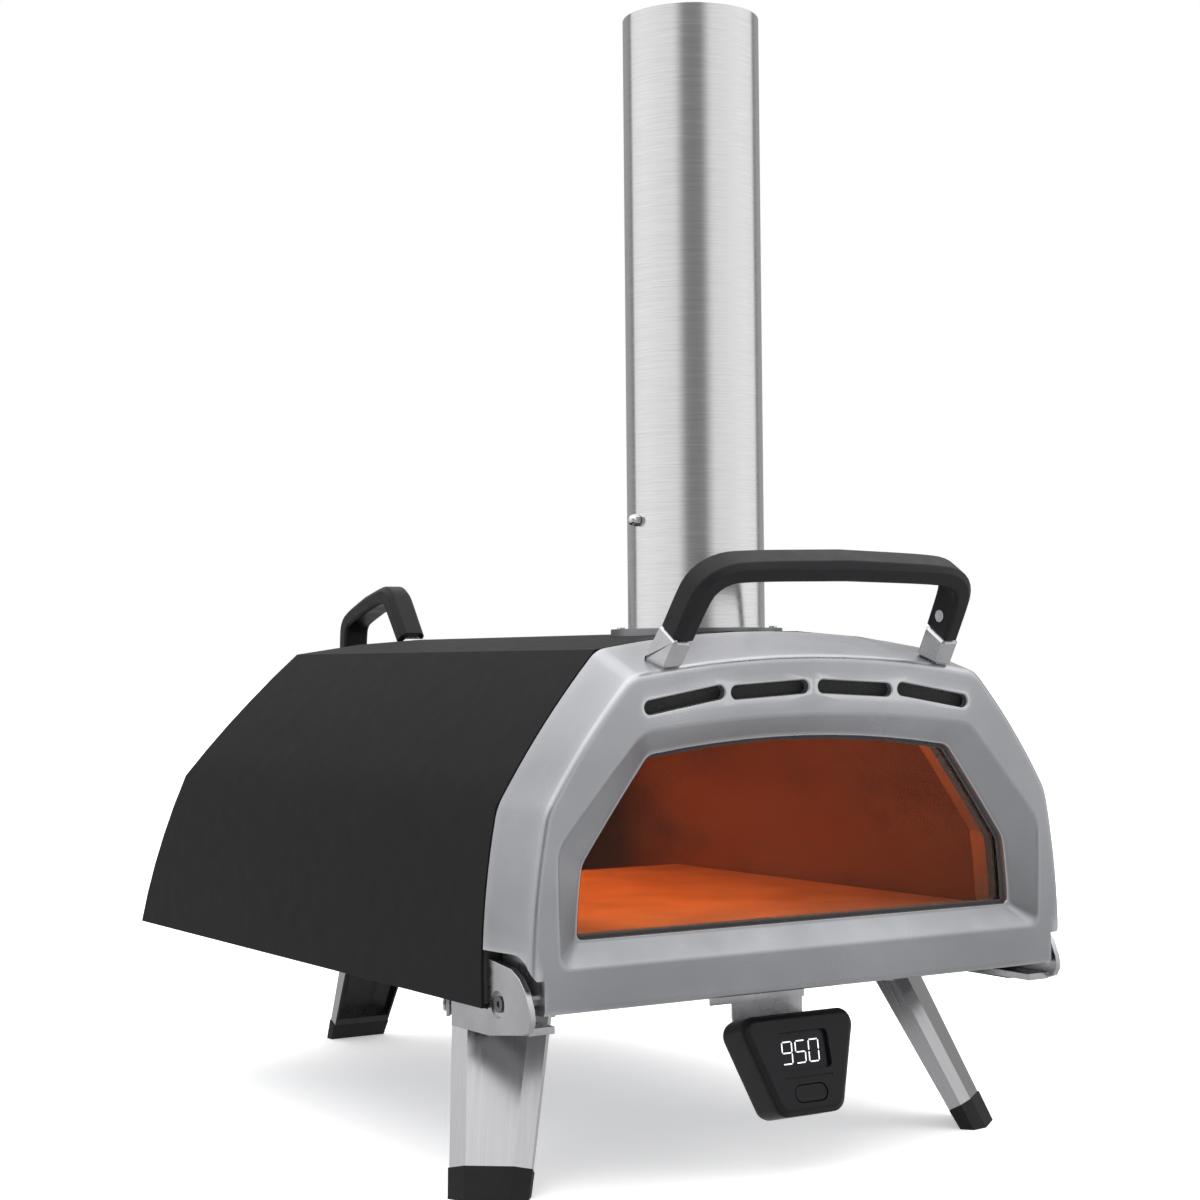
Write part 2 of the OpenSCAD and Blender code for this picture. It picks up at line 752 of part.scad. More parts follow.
module hinge_bracket_right() {
  z0 = 114;
  z1 = 165;
  shelf_z = 119;
  color("#c4c6c9") difference() {
    union() {
      side_slab([[55, z0], [107, z0], [107, base_z - 0.3], [shell_front - 0.6, base_z - 0.3],
        [shell_front - 0.6, z1], [25, z1 - 4], [15, z1 - 9], [7, z1 - 17], [2, z1 - 28], [1, z1 - 34],
        [1.5, z0 + 13], [4.5, z0 + 8], [10, z0 + 6]], bracket_x, bracket_x + bracket_t);
      // shelf under the door, and a ledge that carries the base
      box([207, bracket_x], [10, 107], [shelf_z, shelf_z + 5]);
      box([207, 210], [shell_front + 3, 107], [shelf_z + 5, base_z - 0.05]);
    }
    translate([0, hinge_y, hinge_z]) rod_x(hinge_r, bracket_x - 1, bracket_x + bracket_t - 1.5);
    translate([0, 43, 136]) rod_x(2.5, bracket_x - 1, bracket_x + 10);
    translate([0, 43, 136]) rod_x(9, bracket_x + 2, bracket_x + 10);
  }
}

module hinge_bracket_left() {
  mirror([1, 0, 0]) hinge_bracket_right();
}

module door_hinge_pins() {
  color("#b9bcc0") both_sides() translate([0, hinge_y, hinge_z])
    rod_x(hinge_r, pocket_x - 5, bracket_x + bracket_t - 1.6);
}

module bracket_screws() {
  color("#8d8f92") both_sides() translate([0, 43, 136]) difference() {
    union() {
      rod_x(2.45, bracket_x - 0.5, bracket_x + 2.1);
      rod_x(5.5, bracket_x + 2.02, bracket_x + 4.2);
    }
    rotate([0, 90, 0]) translate([0, 0, bracket_x + 3]) cylinder(r = 2.4, h = 5, $fn = 6);
  }
}

// ---------- legs ----------

// A leg's own frame: pivot at the origin, width along x, outer face towards -y, foot down
module leg_frame(x, y, heading, splay = leg_splay) {
  translate([x, y, leg_pivot_z]) rotate([0, 0, heading]) rotate([-splay, 0, 0]) children();
}

// The folded section of a leg at height z, inset by t; the outer face is chamfered on both sides
module leg_section(z, w, depth, t) {
  h = w / 2 - t;
  chamfer = 12;
  inner = depth - leg_face + (t > 0 ? 5 : 0);
  translate([0, 0, z]) linear_extrude(eps) polygon([
    [-h, inner], [-h, -leg_face + 6 + t / 2], [-h + chamfer, -leg_face + t],
    [h - chamfer, -leg_face + t], [h, -leg_face + 6 + t / 2], [h, inner]
  ]);
}

function leg_width_at(z) = leg_top_w + (leg_foot_w - leg_top_w) * (-z / leg_len);
function leg_depth_at(z) = leg_depth - 6 * (-z / leg_len);

module leg_body(z0, z1, t) {
  hull() {
    leg_section(z0, leg_width_at(z0), leg_depth_at(z0), t);
    leg_section(z1, leg_width_at(z1), leg_depth_at(z1), t);
  }
}

foot_top = -(leg_pivot_z - foot_h) / cos(leg_splay);

module leg(x, y, heading) {
  color("#c4c6c9") leg_frame(x, y, heading) difference() {
    leg_body(foot_top + 0.2, 6, 0);
    leg_body(foot_top + 7, 9, leg_sheet);
    rod_x(leg_pin_r + fit, -60, 60);
  }
}

module foot(x, y, heading) {
  color("#161617") difference() {
    leg_frame(x, y, heading) leg_body(foot_top - 40, foot_top, -0.8);
    translate([x - 150, y - 150, -100]) cube([300, 300, 100]);
  }
}

module leg_front_left() { leg(-front_pivot_x, front_pivot_y, -leg_heading); }
module leg_front_right() { leg(front_pivot_x, front_pivot_y, leg_heading); }
module leg_rear() { leg(0, rear_pivot_y, 180); }
module foot_front_left() { foot(-front_pivot_x, front_pivot_y, -leg_heading); }
module foot_front_right() { foot(front_pivot_x, front_pivot_y, leg_heading); }
module foot_rear() { foot(0, rear_pivot_y, 180); }

leg_places = [
  [-front_pivot_x, front_pivot_y, -leg_heading],
  [front_pivot_x, front_pivot_y, leg_heading],
  [0, rear_pivot_y, 180]
];

module leg_mounts() {
  ear_x = leg_top_w / 2 + 1.4;
  top = base_z - leg_pivot_z - 0.05;
  color("#9a9c9e") for (p = leg_places) leg_frame(p[0], p[1], p[2], 0) difference() {
    union() {
      both_sides() box([ear_x, ear_x + mount_t], [-9, 9], [-7, top]);
      both_sides() box([ear_x, ear_x + 9], [-9, 9], [top - 1.6, top]);
    }
    rod_x(leg_pin_r, -60, 60);
  }
}

module leg_pins() {
  half = leg_top_w / 2 + 1.4 + mount_t;
  color("#b9bcc0") for (p = leg_places) leg_frame(p[0], p[1], p[2], 0) {
    rod_x(leg_pin_r, -half - 1.5, half + 1.5);
    both_sides() rod_x(4.6, half + 1.5, half + 3.2);
  }
}

// ---------- thermometer ----------

// The case's own frame: origin in the middle of its front, y into the case, leaning back
module at_hub() {
  translate([0, hub_front, hub_mid_z]) rotate([-hub_tilt, 0, 0]) children();
}

// Points round one corner of the case, from angle a0 to a1
function hub_corner(x, z, r, a0, a1) =
  [for (i = [0 : 4]) let (a = a0 + (a1 - a0) * i / 4) [x + r * cos(a), z + r * sin(a)]];

// The case's front outline, inset by t: a trapezoid with rounded corners
function hub_outline(t) = let (r = 11, side = -17, low = 20)
  concat(
    hub_corner(low, -hub_h / 2 + r, r - t, -90, side),
    hub_corner(hub_w / 2 - r, hub_h / 2 - r, r - t, side, 90),
    hub_corner(-hub_w / 2 + r, hub_h / 2 - r, r - t, 90, 180 - side),
    hub_corner(-low, -hub_h / 2 + r, r - t, 180 - side, 270)
  );

display_z = [-6, 22];
button_z = -21;

module hub_button_shape(t, y0, y1) {
  translate([0, 0, button_z]) {
    box([-8 - t, 8 + t], [y0, y1], [-6 - t, 6 + t]);
    both_sides() translate([8, 0, 0]) rod_y(6 + t, y0, y1);
  }
}

module hub_case() {
  color("#1b1b1d") at_hub() difference() {
    front_slab(hub_outline(0), 3, hub_d);
    front_slab(hub_outline(2.2), 2, hub_d - 2.5);
    box([-22, 22], [hub_d - 4, hub_d + 1], [-24, 8]);
  }
}

module hub_face() {
  color("#232326") at_hub() difference() {
    front_slab(hub_outline(1), 0, 2.95);
    box([-22, 22], [-1, 4], display_z);
    hub_button_shape(0.4, -1, 4);
    box([-21, 21], [-1, 0.6], [display_z[0] - 4.6, display_z[0] - 3.4]);
  }
}

module hub_display() {
  color("#0a0a0c") at_hub() box([-24, 24], [3, 5], [display_z[0] - 2, display_z[1] + 2]);
}

module hub_button() {
  color("#2a2a2d") at_hub() {
    hub_button_shape(0, 0.2, 2.9);
    hub_button_shape(-1, 2.8, 3.5);
    hub_button_shape(1.4, 3.4, 4.4);
  }
}

module battery_cover() {
  color("#1b1b1d") at_hub() box([-21.7, 21.7], [hub_d - 2, hub_d - 0.4], [-23.7, 7.7]);
}

module hub_bracket() {
  y = shell_front + 1;
  top = base_z - 0.05;
  low = 107.5;
  arm = 19.5;
  color("#b9bcc0") difference() {
    union() {
      // arm down to the back of the case, and the wider plate above it
      side_slab([[y, 117], [y, low], [y - arm * sin(hub_tilt), low - arm * cos(hub_tilt)],
        [y + 2 - arm * sin(hub_tilt), low - 0.5 - arm * cos(hub_tilt)], [y + 2, low - 0.3], [y + 2, 117]],
        -31, 31);
      box([-50, 33], [y, y + 2], [117, top]);
      box([-50, 33], [y, y + 42], [top - 2, top]);
    }
    for (x = [-31, 14]) translate([x, y + 30, base_z - 10]) cylinder(r = 2.2, h = 20);
  }
}

at_row() outer_shell();
at_row() inner_liner();
at_row() insulation_blanket();
at_row() base_pan();
at_row() front_frame();
at_row() rear_panel();
at_row() baking_stone();
at_row() stone_rails();
at_row() temperature_probe();
at_row() fuel_box();
at_row() hatch_hinge_pin();
at_row() fuel_hatch();
at_row() hatch_ferrules();
at_row() hatch_grip();
at_row() hatch_handle_screws();
at_row() fuel_tray();
at_row() fuel_grate();
at_row() tray_pull();
at_row() vent_slider();
at_row() vent_studs();
at_row() chimney_collar();
at_row() collar_screws();
at_row() chimney_tube();
at_row() damper_plate();
at_row() damper_shaft();
at_row() damper_nut();
at_row() damper_lever();
at_row() door_frame();
at_row() window_gasket();
at_row() door_glass();
at_row() glass_retainer();
at_row() retainer_screws();
at_row() door_liner();
at_row() door_ferrules();
at_row() door_grip();
at_row() door_handle_screws();
at_row() hinge_bracket_left();
at_row() hinge_bracket_right();
at_row() door_hinge_pins();
at_row() bracket_screws();
at_row() leg_mounts();
at_row() leg_pins();
at_row() leg_front_left();
at_row() leg_front_right();
at_row() leg_rear();
at_row() foot_front_left();
at_row() foot_front_right();
at_row() foot_rear();
at_row() hub_bracket();
at_row() hub_case();
at_row() hub_face();
at_row() hub_display();
at_row() hub_button();
at_row() battery_cover();
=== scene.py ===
"""Looks of the wood fired pizza oven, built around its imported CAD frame."""

import math

import bmesh
import bpy
from mathutils import Matrix, Vector
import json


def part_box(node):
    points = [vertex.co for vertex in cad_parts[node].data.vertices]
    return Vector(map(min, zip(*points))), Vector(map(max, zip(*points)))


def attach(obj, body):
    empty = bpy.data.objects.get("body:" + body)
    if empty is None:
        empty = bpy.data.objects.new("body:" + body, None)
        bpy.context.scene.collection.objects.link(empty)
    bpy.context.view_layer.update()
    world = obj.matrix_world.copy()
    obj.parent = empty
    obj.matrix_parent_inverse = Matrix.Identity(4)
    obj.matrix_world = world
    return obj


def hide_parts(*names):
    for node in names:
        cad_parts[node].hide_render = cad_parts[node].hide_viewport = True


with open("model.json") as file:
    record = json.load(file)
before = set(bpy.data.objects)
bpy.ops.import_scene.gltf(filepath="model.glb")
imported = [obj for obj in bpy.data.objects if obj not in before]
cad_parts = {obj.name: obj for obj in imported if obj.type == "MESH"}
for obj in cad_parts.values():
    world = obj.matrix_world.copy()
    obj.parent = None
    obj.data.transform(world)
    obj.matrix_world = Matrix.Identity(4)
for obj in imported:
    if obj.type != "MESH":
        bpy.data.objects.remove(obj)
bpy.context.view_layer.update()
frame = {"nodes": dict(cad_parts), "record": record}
NODES = frame["nodes"]
RECORD = frame["record"]
BODY_OF = {n: b for b, names in RECORD["behaviour"]["bodies"].items() for n in names}
SLOT_OF = {s["node"]: s["material_slot"] for s in RECORD["subparts"]}
MM = 0.001
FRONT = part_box("door_frame")[0].y  # the door's front plane
GRAIN_DEPTH = 0.0002  # of fine surface grain, in m


def at(x, y, z):
    """A point in mm, with y behind the door's front plane, in the row frame."""
    return Vector((x * MM, FRONT + y * MM, z * MM))


# ---------- materials ----------


class Graph:
    """A material under construction, with its Principled shader and object coordinates."""

    def __init__(self, name):
        self.mat = bpy.data.materials.new(name)
        self.mat.use_nodes = True
        self.tree = self.mat.node_tree
        self.shader = self.tree.nodes["Principled BSDF"]
        self.coords = self.tree.nodes.new("ShaderNodeTexCoord").outputs["Object"]

    def link(self, a, b):
        self.tree.links.new(a, b)

    def noise(self, scale, stretch=(1, 1, 1), turn=(0, 0, 0), detail=5.0, rough=0.55):
        mapping = self.tree.nodes.new("ShaderNodeMapping")
        mapping.vector_type = "TEXTURE"
        mapping.inputs["Rotation"].default_value = turn
        mapping.inputs["Scale"].default_value = [1 / s for s in stretch]
        self.link(self.coords, mapping.inputs["Vector"])
        n = self.tree.nodes.new("ShaderNodeTexNoise")
        n.inputs["Scale"].default_value = scale
        n.inputs["Detail"].default_value = detail
        n.inputs["Roughness"].default_value = rough
        self.link(mapping.outputs["Vector"], n.inputs["Vector"])
        return n.outputs["Fac"]

    def ramp(self, value, low, high, start=0.3, end=0.7):
        """Maps a value to low..high."""
        m = self.tree.nodes.new("ShaderNodeMapRange")
        m.inputs["From Min"].default_value = start
        m.inputs["From Max"].default_value = end
        m.inputs["To Min"].default_value = low
        m.inputs["To Max"].default_value = high
        self.link(value, m.inputs["Value"])
        return m.outputs["Result"]

    def colors(self, value, stops):
        """Maps a value to a ramp of colours: [(position, (r, g, b)), ...]."""
        r = self.tree.nodes.new("ShaderNodeValToRGB")
        elements = r.color_ramp.elements
        while len(elements) < len(stops):
            elements.new(0.5)
        for e, (pos, rgb) in zip(elements, stops):
            e.position = pos
            e.color = (*rgb, 1)
        self.link(value, r.inputs["Fac"])
        return r.outputs["Color"]

    def mix(self, blend, a, b):
        """Blends two colours in full."""
        m = self.tree.nodes.new("ShaderNodeMix")
        m.data_type = "RGBA"
        m.blend_type = blend
        m.inputs["Factor"].default_value = 1
        self.link(a, m.inputs["A"])
        self.link(b, m.inputs["B"])
        return m.outputs["Result"]

    def painted_ground_shade(self):
        """Painted shade: a little darker towards the ground."""
        split = self.tree.nodes.new("ShaderNodeSeparateXYZ")
        self.link(self.coords, split.inputs["Vector"])
        height = self.ramp(split.outputs["Z"], 0, 1, 0.13, 0.36)
        return self.colors(height, [(0, (0.78, 0.78, 0.78)), (1, (1, 1, 1))])

    def painted_edge_light(self):
        """Painted highlights on rounded edges, and painted shade in inside corners."""
        point = self.tree.nodes.new("ShaderNodeNewGeometry").outputs["Pointiness"]
        stops = [(0.44, (0.66, 0.66, 0.67)), (0.497, (0.97, 0.97, 0.97)), (0.56, (1.5, 1.5, 1.48))]
        return self.colors(point, stops)

    def bump(self, value, strength, distance, after=None):
        b = self.tree.nodes.new("ShaderNodeBump")
        b.inputs["Strength"].default_value = strength
        b.inputs["Distance"].default_value = distance
        self.link(value, b.inputs["Height"])
        if after:
            self.link(after, b.inputs["Normal"])
        return b.outputs["Normal"]

    def set(self, **values):
        for k, v in values.items():
            self.shader.inputs[k.replace("_", " ")].default_value = v

    def done(self, color=None, roughness=None, normal=None):
        if color:
            self.link(color, self.shader.inputs["Base Color"])
        if roughness:
            self.link(roughness, self.shader.inputs["Roughness"])
        if normal:
            self.link(normal, self.shader.inputs["Normal"])
        return self.mat


def shade(rgb, k):
    """The colour k times as bright, held to 1."""
    return tuple(min(1.0, c * k) for c in rgb)


def powder_coat(name, rgb):
    """Fine-textured matte powder coat."""
    g = Graph(name)
    g.set(Specular_IOR_Level=0.09)
    fine = g.noise(1900, detail=2)
    broad = g.noise(7)
    peel = g.noise(620, detail=2)
    color = g.colors(broad, [(0.3, shade(rgb, 0.96)), (0.7, shade(rgb, 1.04))])
    normal = g.bump(fine, 0.16, GRAIN_DEPTH, g.bump(peel, 0.06, 0.0003))
    return g.done(color, g.ramp(g.noise(60), 0.52, 0.58), normal)


def cast(name, rgb, rough):
    """Satin aluminium casting, lightly blasted."""
    g = Graph(name)
    g.set(Metallic=0.92)
    grain = g.noise(1500, detail=1)
    cloud = g.noise(9, detail=3)
    base = g.colors(cloud, [(0.25, shade(rgb, 0.86)), (0.75, shade(rgb, 1.12))])
    # painted shade: the casting is darker towards the ground
    tone = g.mix("MULTIPLY", base, g.painted_ground_shade())
    # painted highlights on rounded edges and painted shade in inside corners
    color = g.mix("MULTIPLY", tone, g.painted_edge_light())
    rough_out = g.ramp(g.noise(40, detail=4), rough - 0.05, rough + 0.06)
    return g.done(color, rough_out, g.bump(grain, 0.06, GRAIN_DEPTH))


def brushed(name, rgb, rough, stretch, turn=(0, 0, 0), vary=0.05):
    """Brushed steel: noise drawn out along the brush's way."""
    g = Graph(name)
    g.set(Metallic=1.0)
    lines = g.noise(1, stretch, turn, detail=4, rough=0.7)
    wide = g.noise(0.3, stretch, turn, detail=3)
    color = g.colors(lines, [(0.3, shade(rgb, 1 - vary)), (0.7, shade(rgb, 1 + vary))])
    rough_out = g.ramp(wide, rough - 0.03, rough + 0.04)
    return g.done(color, rough_out, g.bump(lines, 0.05, GRAIN_DEPTH))


def metal(name, rgb, rough, spangle=0.0):
    """Plain mill-finish or plated metal, with faint handling marks."""
    g = Graph(name)
    g.set(Metallic=1.0)
    cloud = g.noise(35 + 200 * spangle, detail=6)
    color = g.colors(cloud, [(0.3, shade(rgb, 0.9 - 0.2 * spangle)), (0.7, shade(rgb, 1.08))])
    rough_out = g.ramp(g.noise(120), rough - 0.05, rough + 0.07)
    return g.done(color, rough_out, g.bump(g.noise(900), 0.06, GRAIN_DEPTH))


def plastic(name, rgb, rough, grain=700, strength=0.18):
    """Moulded plastic with a fine spark-eroded grain."""
    g = Graph(name)
    g.set(Specular_IOR_Level=0.2)
    color = g.colors(g.noise(25), [(0.3, shade(rgb, 0.92)), (0.7, shade(rgb, 1.1))])
    rough_out = g.ramp(g.noise(90), rough - 0.05, rough + 0.05)
    return g.done(color, rough_out, g.bump(g.noise(grain), strength, GRAIN_DEPTH))


def stone_material():
    """Cordierite: speckled, with broad darker blotches."""
    g = Graph("cordierite")
    speck = g.noise(420, detail=2)
    blotch = g.noise(18, detail=5)
    dark, middle, light = (0.20, 0.105, 0.055), (0.27, 0.145, 0.078), (0.32, 0.185, 0.105)
    color = g.colors(blotch, [(0.25, dark), (0.55, middle), (0.8, light)])
    return g.done(color, g.ramp(speck, 0.78, 0.95), g.bump(speck, 0.16, 0.0003))


def fibre(name, low, high, scale):
    """Woven or felted heat-proof fibre."""
    g = Graph(name)
    g.set(Sheen_Weight=0.25)
    f = g.noise(scale, (1, 6, 1), detail=6)
    color = g.colors(f, [(0.3, low), (0.7, high)])
    return g.done(color, g.ramp(f, 0.85, 1.0), g.bump(f, 0.8, 0.0008))


def tinted_steel(name, base, hot, rough):
    """Steel coloured by heat in broad patches."""
    g = Graph(name)
    g.set(Metallic=0.4)
    streak = g.noise(5, (1, 1, 2.2), detail=5)
    color = g.colors(streak, [(0.3, hot), (0.5, base), (0.75, shade(base, 1.12))])
    rough_out = g.ramp(g.noise(70), rough - 0.05, rough + 0.08)
    return g.done(color, rough_out, g.bump(g.noise(25), 0.1, 0.0006))


def glass_material():
    """Smoky glass, seen through by its alpha."""
    g = Graph("window_glass")
    g.set(Alpha=0.14, IOR=1.45)
    smear = g.noise(16, (1, 1, 2), detail=4)
    color = g.colors(smear, [(0.3, (0.010, 0.007, 0.004)), (0.7, (0.030, 0.020, 0.012))])
    return g.done(color, g.ramp(smear, 0.02, 0.06))


def display_material():
    """Black display window."""
    g = Graph("display_window")
    g.set(Specular_IOR_Level=0.25)
    color = g.colors(g.noise(30), [(0.3, (0.003, 0.003, 0.004)), (0.7, (0.005, 0.005, 0.007))])
    return g.done(color, g.ramp(g.noise(120), 0.22, 0.28))


def digit_material():
    """Lit bars of the number."""
    g = Graph("display_digits")
    color = g.colors(g.noise(400), [(0.3, (0.62, 0.66, 0.72)), (0.7, (0.80, 0.83, 0.88))])
    g.link(color, g.shader.inputs["Emission Color"])
    g.set(Emission_Strength=0.75)
    return g.done(color, g.ramp(g.noise(200), 0.4, 0.5))


def ground_material():
    """Pale floor that gives off a little light, to stay as pale as the background."""
    g = Graph("floor_paint")
    color = g.colors(g.noise(3), [(0.3, (0.87, 0.87, 0.87)), (0.7, (0.89, 0.89, 0.89))])
    g.link(color, g.shader.inputs["Emission Color"])
    g.set(Emission_Strength=0.4)
    return g.done(color, g.ramp(g.noise(8), 0.75, 0.85))


STEEL = (0.62, 0.62, 0.63)
LEG_STEEL = (0.46, 0.46, 0.465)
MATERIALS = {
    "shell_black": powder_coat("powder_coat_black", (0.0085, 0.0085, 0.0093)),
    "cast_aluminium": cast("satin_casting", (0.385, 0.39, 0.408), 0.31),
    "brushed_stainless": brushed(
        "tube_brushed_round", (0.74, 0.735, 0.735), 0.19, (30, 30, 2600), vary=0.11
    ),
    "leg_steel": brushed("leg_brushed", LEG_STEEL, 0.24, (1500, 1500, 10)),
    "bright_steel": metal("satin_plate", (0.49, 0.49, 0.50), 0.28),
    "stainless": metal("stainless", STEEL, 0.3),
    "screw_steel": metal("polished_screw", (0.72, 0.72, 0.73), 0.16),
    "collar_steel": brushed(
        "collar_brushed", (0.26, 0.265, 0.275), 0.36, (14, 1200, 1200)
    ),
    "dark_steel": powder_coat("heatproof_black", (0.03, 0.03, 0.031)),
    "liner_steel": tinted_steel(
        "heat_tinted_liner", (0.13, 0.060, 0.028), (0.07, 0.032, 0.016), 0.42
    ),
    "galvanised_steel": metal("zinc", (0.50, 0.51, 0.53), 0.42, 0.6),
    "nylon_black": plastic("grip_nylon", (0.0075, 0.0075, 0.0085), 0.40),
    "rubber": plastic("foot_rubber", (0.008, 0.008, 0.0085), 0.62, 500, 0.2),
    "gasket": fibre("gasket_braid", (0.008, 0.008, 0.008), (0.025, 0.025, 0.026), 900),
    "blanket": fibre("ceramic_fibre", (0.70, 0.68, 0.62), (0.86, 0.84, 0.79), 150),
    "stone": stone_material(),
    "glass": glass_material(),
    "hub_plastic": plastic("hub_plastic", (0.006, 0.006, 0.007), 0.36, 1100, 0.08),
    "display_black": display_material(),
    "digits": digit_material(),
}
FERRULE = metal("ferrule_casting", (0.52, 0.52, 0.53), 0.27)
# dark metal, painted as the shade inside the legs' folded sections
HOLLOW_SHADE = metal("leg_hollow_painted_shade", (0.045, 0.045, 0.046), 0.5)


# ---------- mesh tools ----------


def new_object(name, bm, material, smooth=50):
    """Turns bm into an object: smooth, with sharp edges over the angle and flat faces kept flat."""
    for f in bm.faces:
        f.smooth = True
    limit = math.radians(smooth)
    for e in bm.edges:
        e.smooth = len(e.link_faces) == 2 and e.calc_face_angle(0) < limit
    mesh = bpy.data.meshes.new(name)
    bm.to_mesh(mesh)
    bm.free()
    obj = bpy.data.objects.new(name, mesh)
    bpy.context.scene.collection.objects.link(obj)
    mesh.materials.append(MATERIALS[material])
    weighted = obj.modifiers.new("face_weighted", "WEIGHTED_NORMAL")
    weighted.keep_sharp = True
    return obj


def cad_bmesh(node):
    """A node's mesh, welded, with its flat faces made whole again."""
    bm = bmesh.new()
    bm.from_mesh(NODES[node].data)
    bmesh.ops.remove_doubles(bm, verts=bm.verts, dist=4e-6)
    bmesh.ops.dissolve_limit(bm, angle_limit=math.radians(0.4), verts=bm.verts, edges=bm.edges)
    return bm


def bevel(bm, width, segments=2, angle=22, pick=None, clamp=True):
    """Rounds the edges that turn by more than angle and are long enough for the width."""
    limit = math.radians(angle)
    edges = [
        e
        for e in bm.edges
        if len(e.link_faces) == 2
        and e.calc_face_angle(0) > limit
        and (pick(e) if pick else e.calc_length() > 2.3 * width)
    ]
    if edges:
        bmesh.ops.bevel(
            bm,
            geom=edges,
            offset=width,
            offset_type="OFFSET",
            segments=segments,
            profile=0.5,
            affect="EDGES",
            clamp_overlap=clamp,
        )


def any_edge(e):
    return True


def settle(obj, node, *others):
    """obj stands for the node: it rides on its body, and the node is hidden."""
    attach(obj, BODY_OF[node])
    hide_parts(node, *others)
    return obj


def add(obj, body):
    """A new piece that no CAD node stands for."""
    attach(obj, body)
    return obj


def refine(node, *passes, smooth=50):
    """A CAD node copied with rounded edges: each pass is (width in mm, segments, pick)."""
    bm = cad_bmesh(node)
    for width, segments, pick in passes or [(0.5, 2, None)]:
        bevel(bm, width * MM, segments, pick=pick)
    return settle(new_object(node + "_detail", bm, SLOT_OF[node], smooth), node)


def loft(bm, loops, close=True):
    """Quads between successive closed loops of points; close joins the last loop to the first."""
    rings = [[bm.verts.new(p) for p in loop] for loop in loops]
    for a, b in zip(rings, rings[1:] + rings[:1] if close else rings[1:]):
        n = len(a)
        for i in range(n):
            j = (i + 1) % n
            bm.faces.new((a[i], a[j], b[j], b[i]))
    return rings


def solid(bm, loops):
    """A loft with a face on each end."""
    rings = loft(bm, loops, close=False)
    bm.faces.new(rings[0])
    bm.faces.new(rings[-1])


def fix_normals(bm):
    """Welds the mesh and points its faces outwards."""
    bmesh.ops.remove_doubles(bm, verts=bm.verts, dist=1e-7)
    bmesh.ops.recalc_face_normals(bm, faces=bm.faces)


def plain_object(bm):
    """A bare object, to cut with or to be cut."""
    fix_normals(bm)
    mesh = bpy.data.meshes.new("tool")
    bm.to_mesh(mesh)
    bm.free()
    obj = bpy.data.objects.new("tool", mesh)
    bpy.context.scene.collection.objects.link(obj)
    return obj


def cut(target, tools):
    """Cuts the tools out of the target exactly, and removes them."""
    for t in tools:
        m = target.modifiers.new("cut", "BOOLEAN")
        m.operation = "DIFFERENCE"
        m.solver = "EXACT"
        m.object = t
    depsgraph = bpy.context.evaluated_depsgraph_get()
    mesh = bpy.data.meshes.new_from_object(target.evaluated_get(depsgraph))
    target.modifiers.clear()
    target.data = mesh
    for t in tools:
        bpy.data.objects.remove(t)


def take_bmesh(obj):
    """The object's mesh as a bmesh; the object is removed."""
    bm = bmesh.new()
    bm.from_mesh(obj.data)
    bpy.data.objects.remove(obj)
    return bm


# ---------- outlines of the door ----------


def inset_points(points, t):
    """A closed outline moved inwards by t."""
    out = []
    n = len(points)
    for i in range(n):
        a, p, b = points[i - 1], points[i], points[(i + 1) % n]
        d1, d2 = (p - a).normalized(), (b - p).normalized()
        n1, n2 = Vector((d1.y, -d1.x)), Vector((d2.y, -d2.x))
        out.append(p - (n1 + n2) * t / (1 + n1.dot(n2)))
    return out


SIDE_STEPS = 10  # points along a side of an outline, and round a slot's end
ROUND_STEPS = 5  # points round a corner


def arch(corners, bows, inset, fillet):
    """Closed loop in x and z, in mm: an arch with bowed sides and top, and rounded corners."""
    right = [Vector(c) for c in corners]
    points = inset_points(right + [Vector((-c.x, c.y)) for c in reversed(right)], inset)
    bows = [bows[0], bows[1], bows[2], bows[1], bows[0], 0]
    n = len(points)

    def edge(i, s):
        a, b = points[i], points[(i + 1) % n]
        d = (b - a).normalized()
        return a + (b - a) * s + Vector((d.y, -d.x)) * 4 * bows[i] * s * (1 - s)

    length = [(points[(i + 1) % n] - points[i]).length for i in range(n)]
    loop = []
    for i in range(n):
        before, after = (i - 1) % n, i
        a = edge(before, 1 - fillet / length[before])
        b = edge(after, fillet / length[after])
        for k in range(ROUND_STEPS + 1):
            s = k / ROUND_STEPS
            loop.append(a * (1 - s) ** 2 + points[i] * 2 * s * (1 - s) + b * s * s)
        s0, s1 = fillet / length[after], 1 - fillet / length[after]
        for k in range(1, SIDE_STEPS):
            loop.append(edge(after, s0 + (s1 - s0) * k / SIDE_STEPS))
    return loop


# right-hand corners in x and z, upwards, and how far the lower side, upper side and top bow out
DOOR_FRONT = [(230, 132), (218, 262.5), (151, 350.7)]
DOOR_REAR = [(235.5, 132), (223.5, 264.5), (144.5, 369)]
DOOR_BOWS = (4, 3.3, 12.7)
WINDOW = ([(188.5, 178), (184, 227), (131, 297.5)], (0.6, 0.6, 10))
RECESS = ([(207.5, 162), (209, 239), (142.5, 313)], (0.6, 0.6, 9.5))
DOOR_DEPTH = 55.5
# each air slot's x, z and tilt in degrees; half its straight length, and its end radius
VENTS = [(-108.5, 334.3, 9.5), (-37.3, 340.3, 3.2), (37.3, 340.3, -3.2), (108.5, 334.3, -9.5)]
VENT_HALF = 28.5
VENT_R = 4.6
VENT_CUT = 1.3  # how much wider the slot is cut, to leave room for its rolled lip
EDGE_R = 4.2  # radius of the door's front edge


def door_loop(y, inset, fillet=7.0):
    """The door's outline at depth y: it widens towards the rear."""
    s = y / DOOR_DEPTH
    corners = [[a * (1 - s) + b * s for a, b in zip(p, q)] for p, q in zip(DOOR_FRONT, DOOR_REAR)]
    return [at(p.x, y, p.y) for p in arch(corners, DOOR_BOWS, inset, fillet)]


def shaped_loop(shape, y, inset, fillet):
    """The window's or recess's outline at depth y."""
    return [at(p.x, y, p.y) for p in arch(shape[0], shape[1], inset, fillet)]


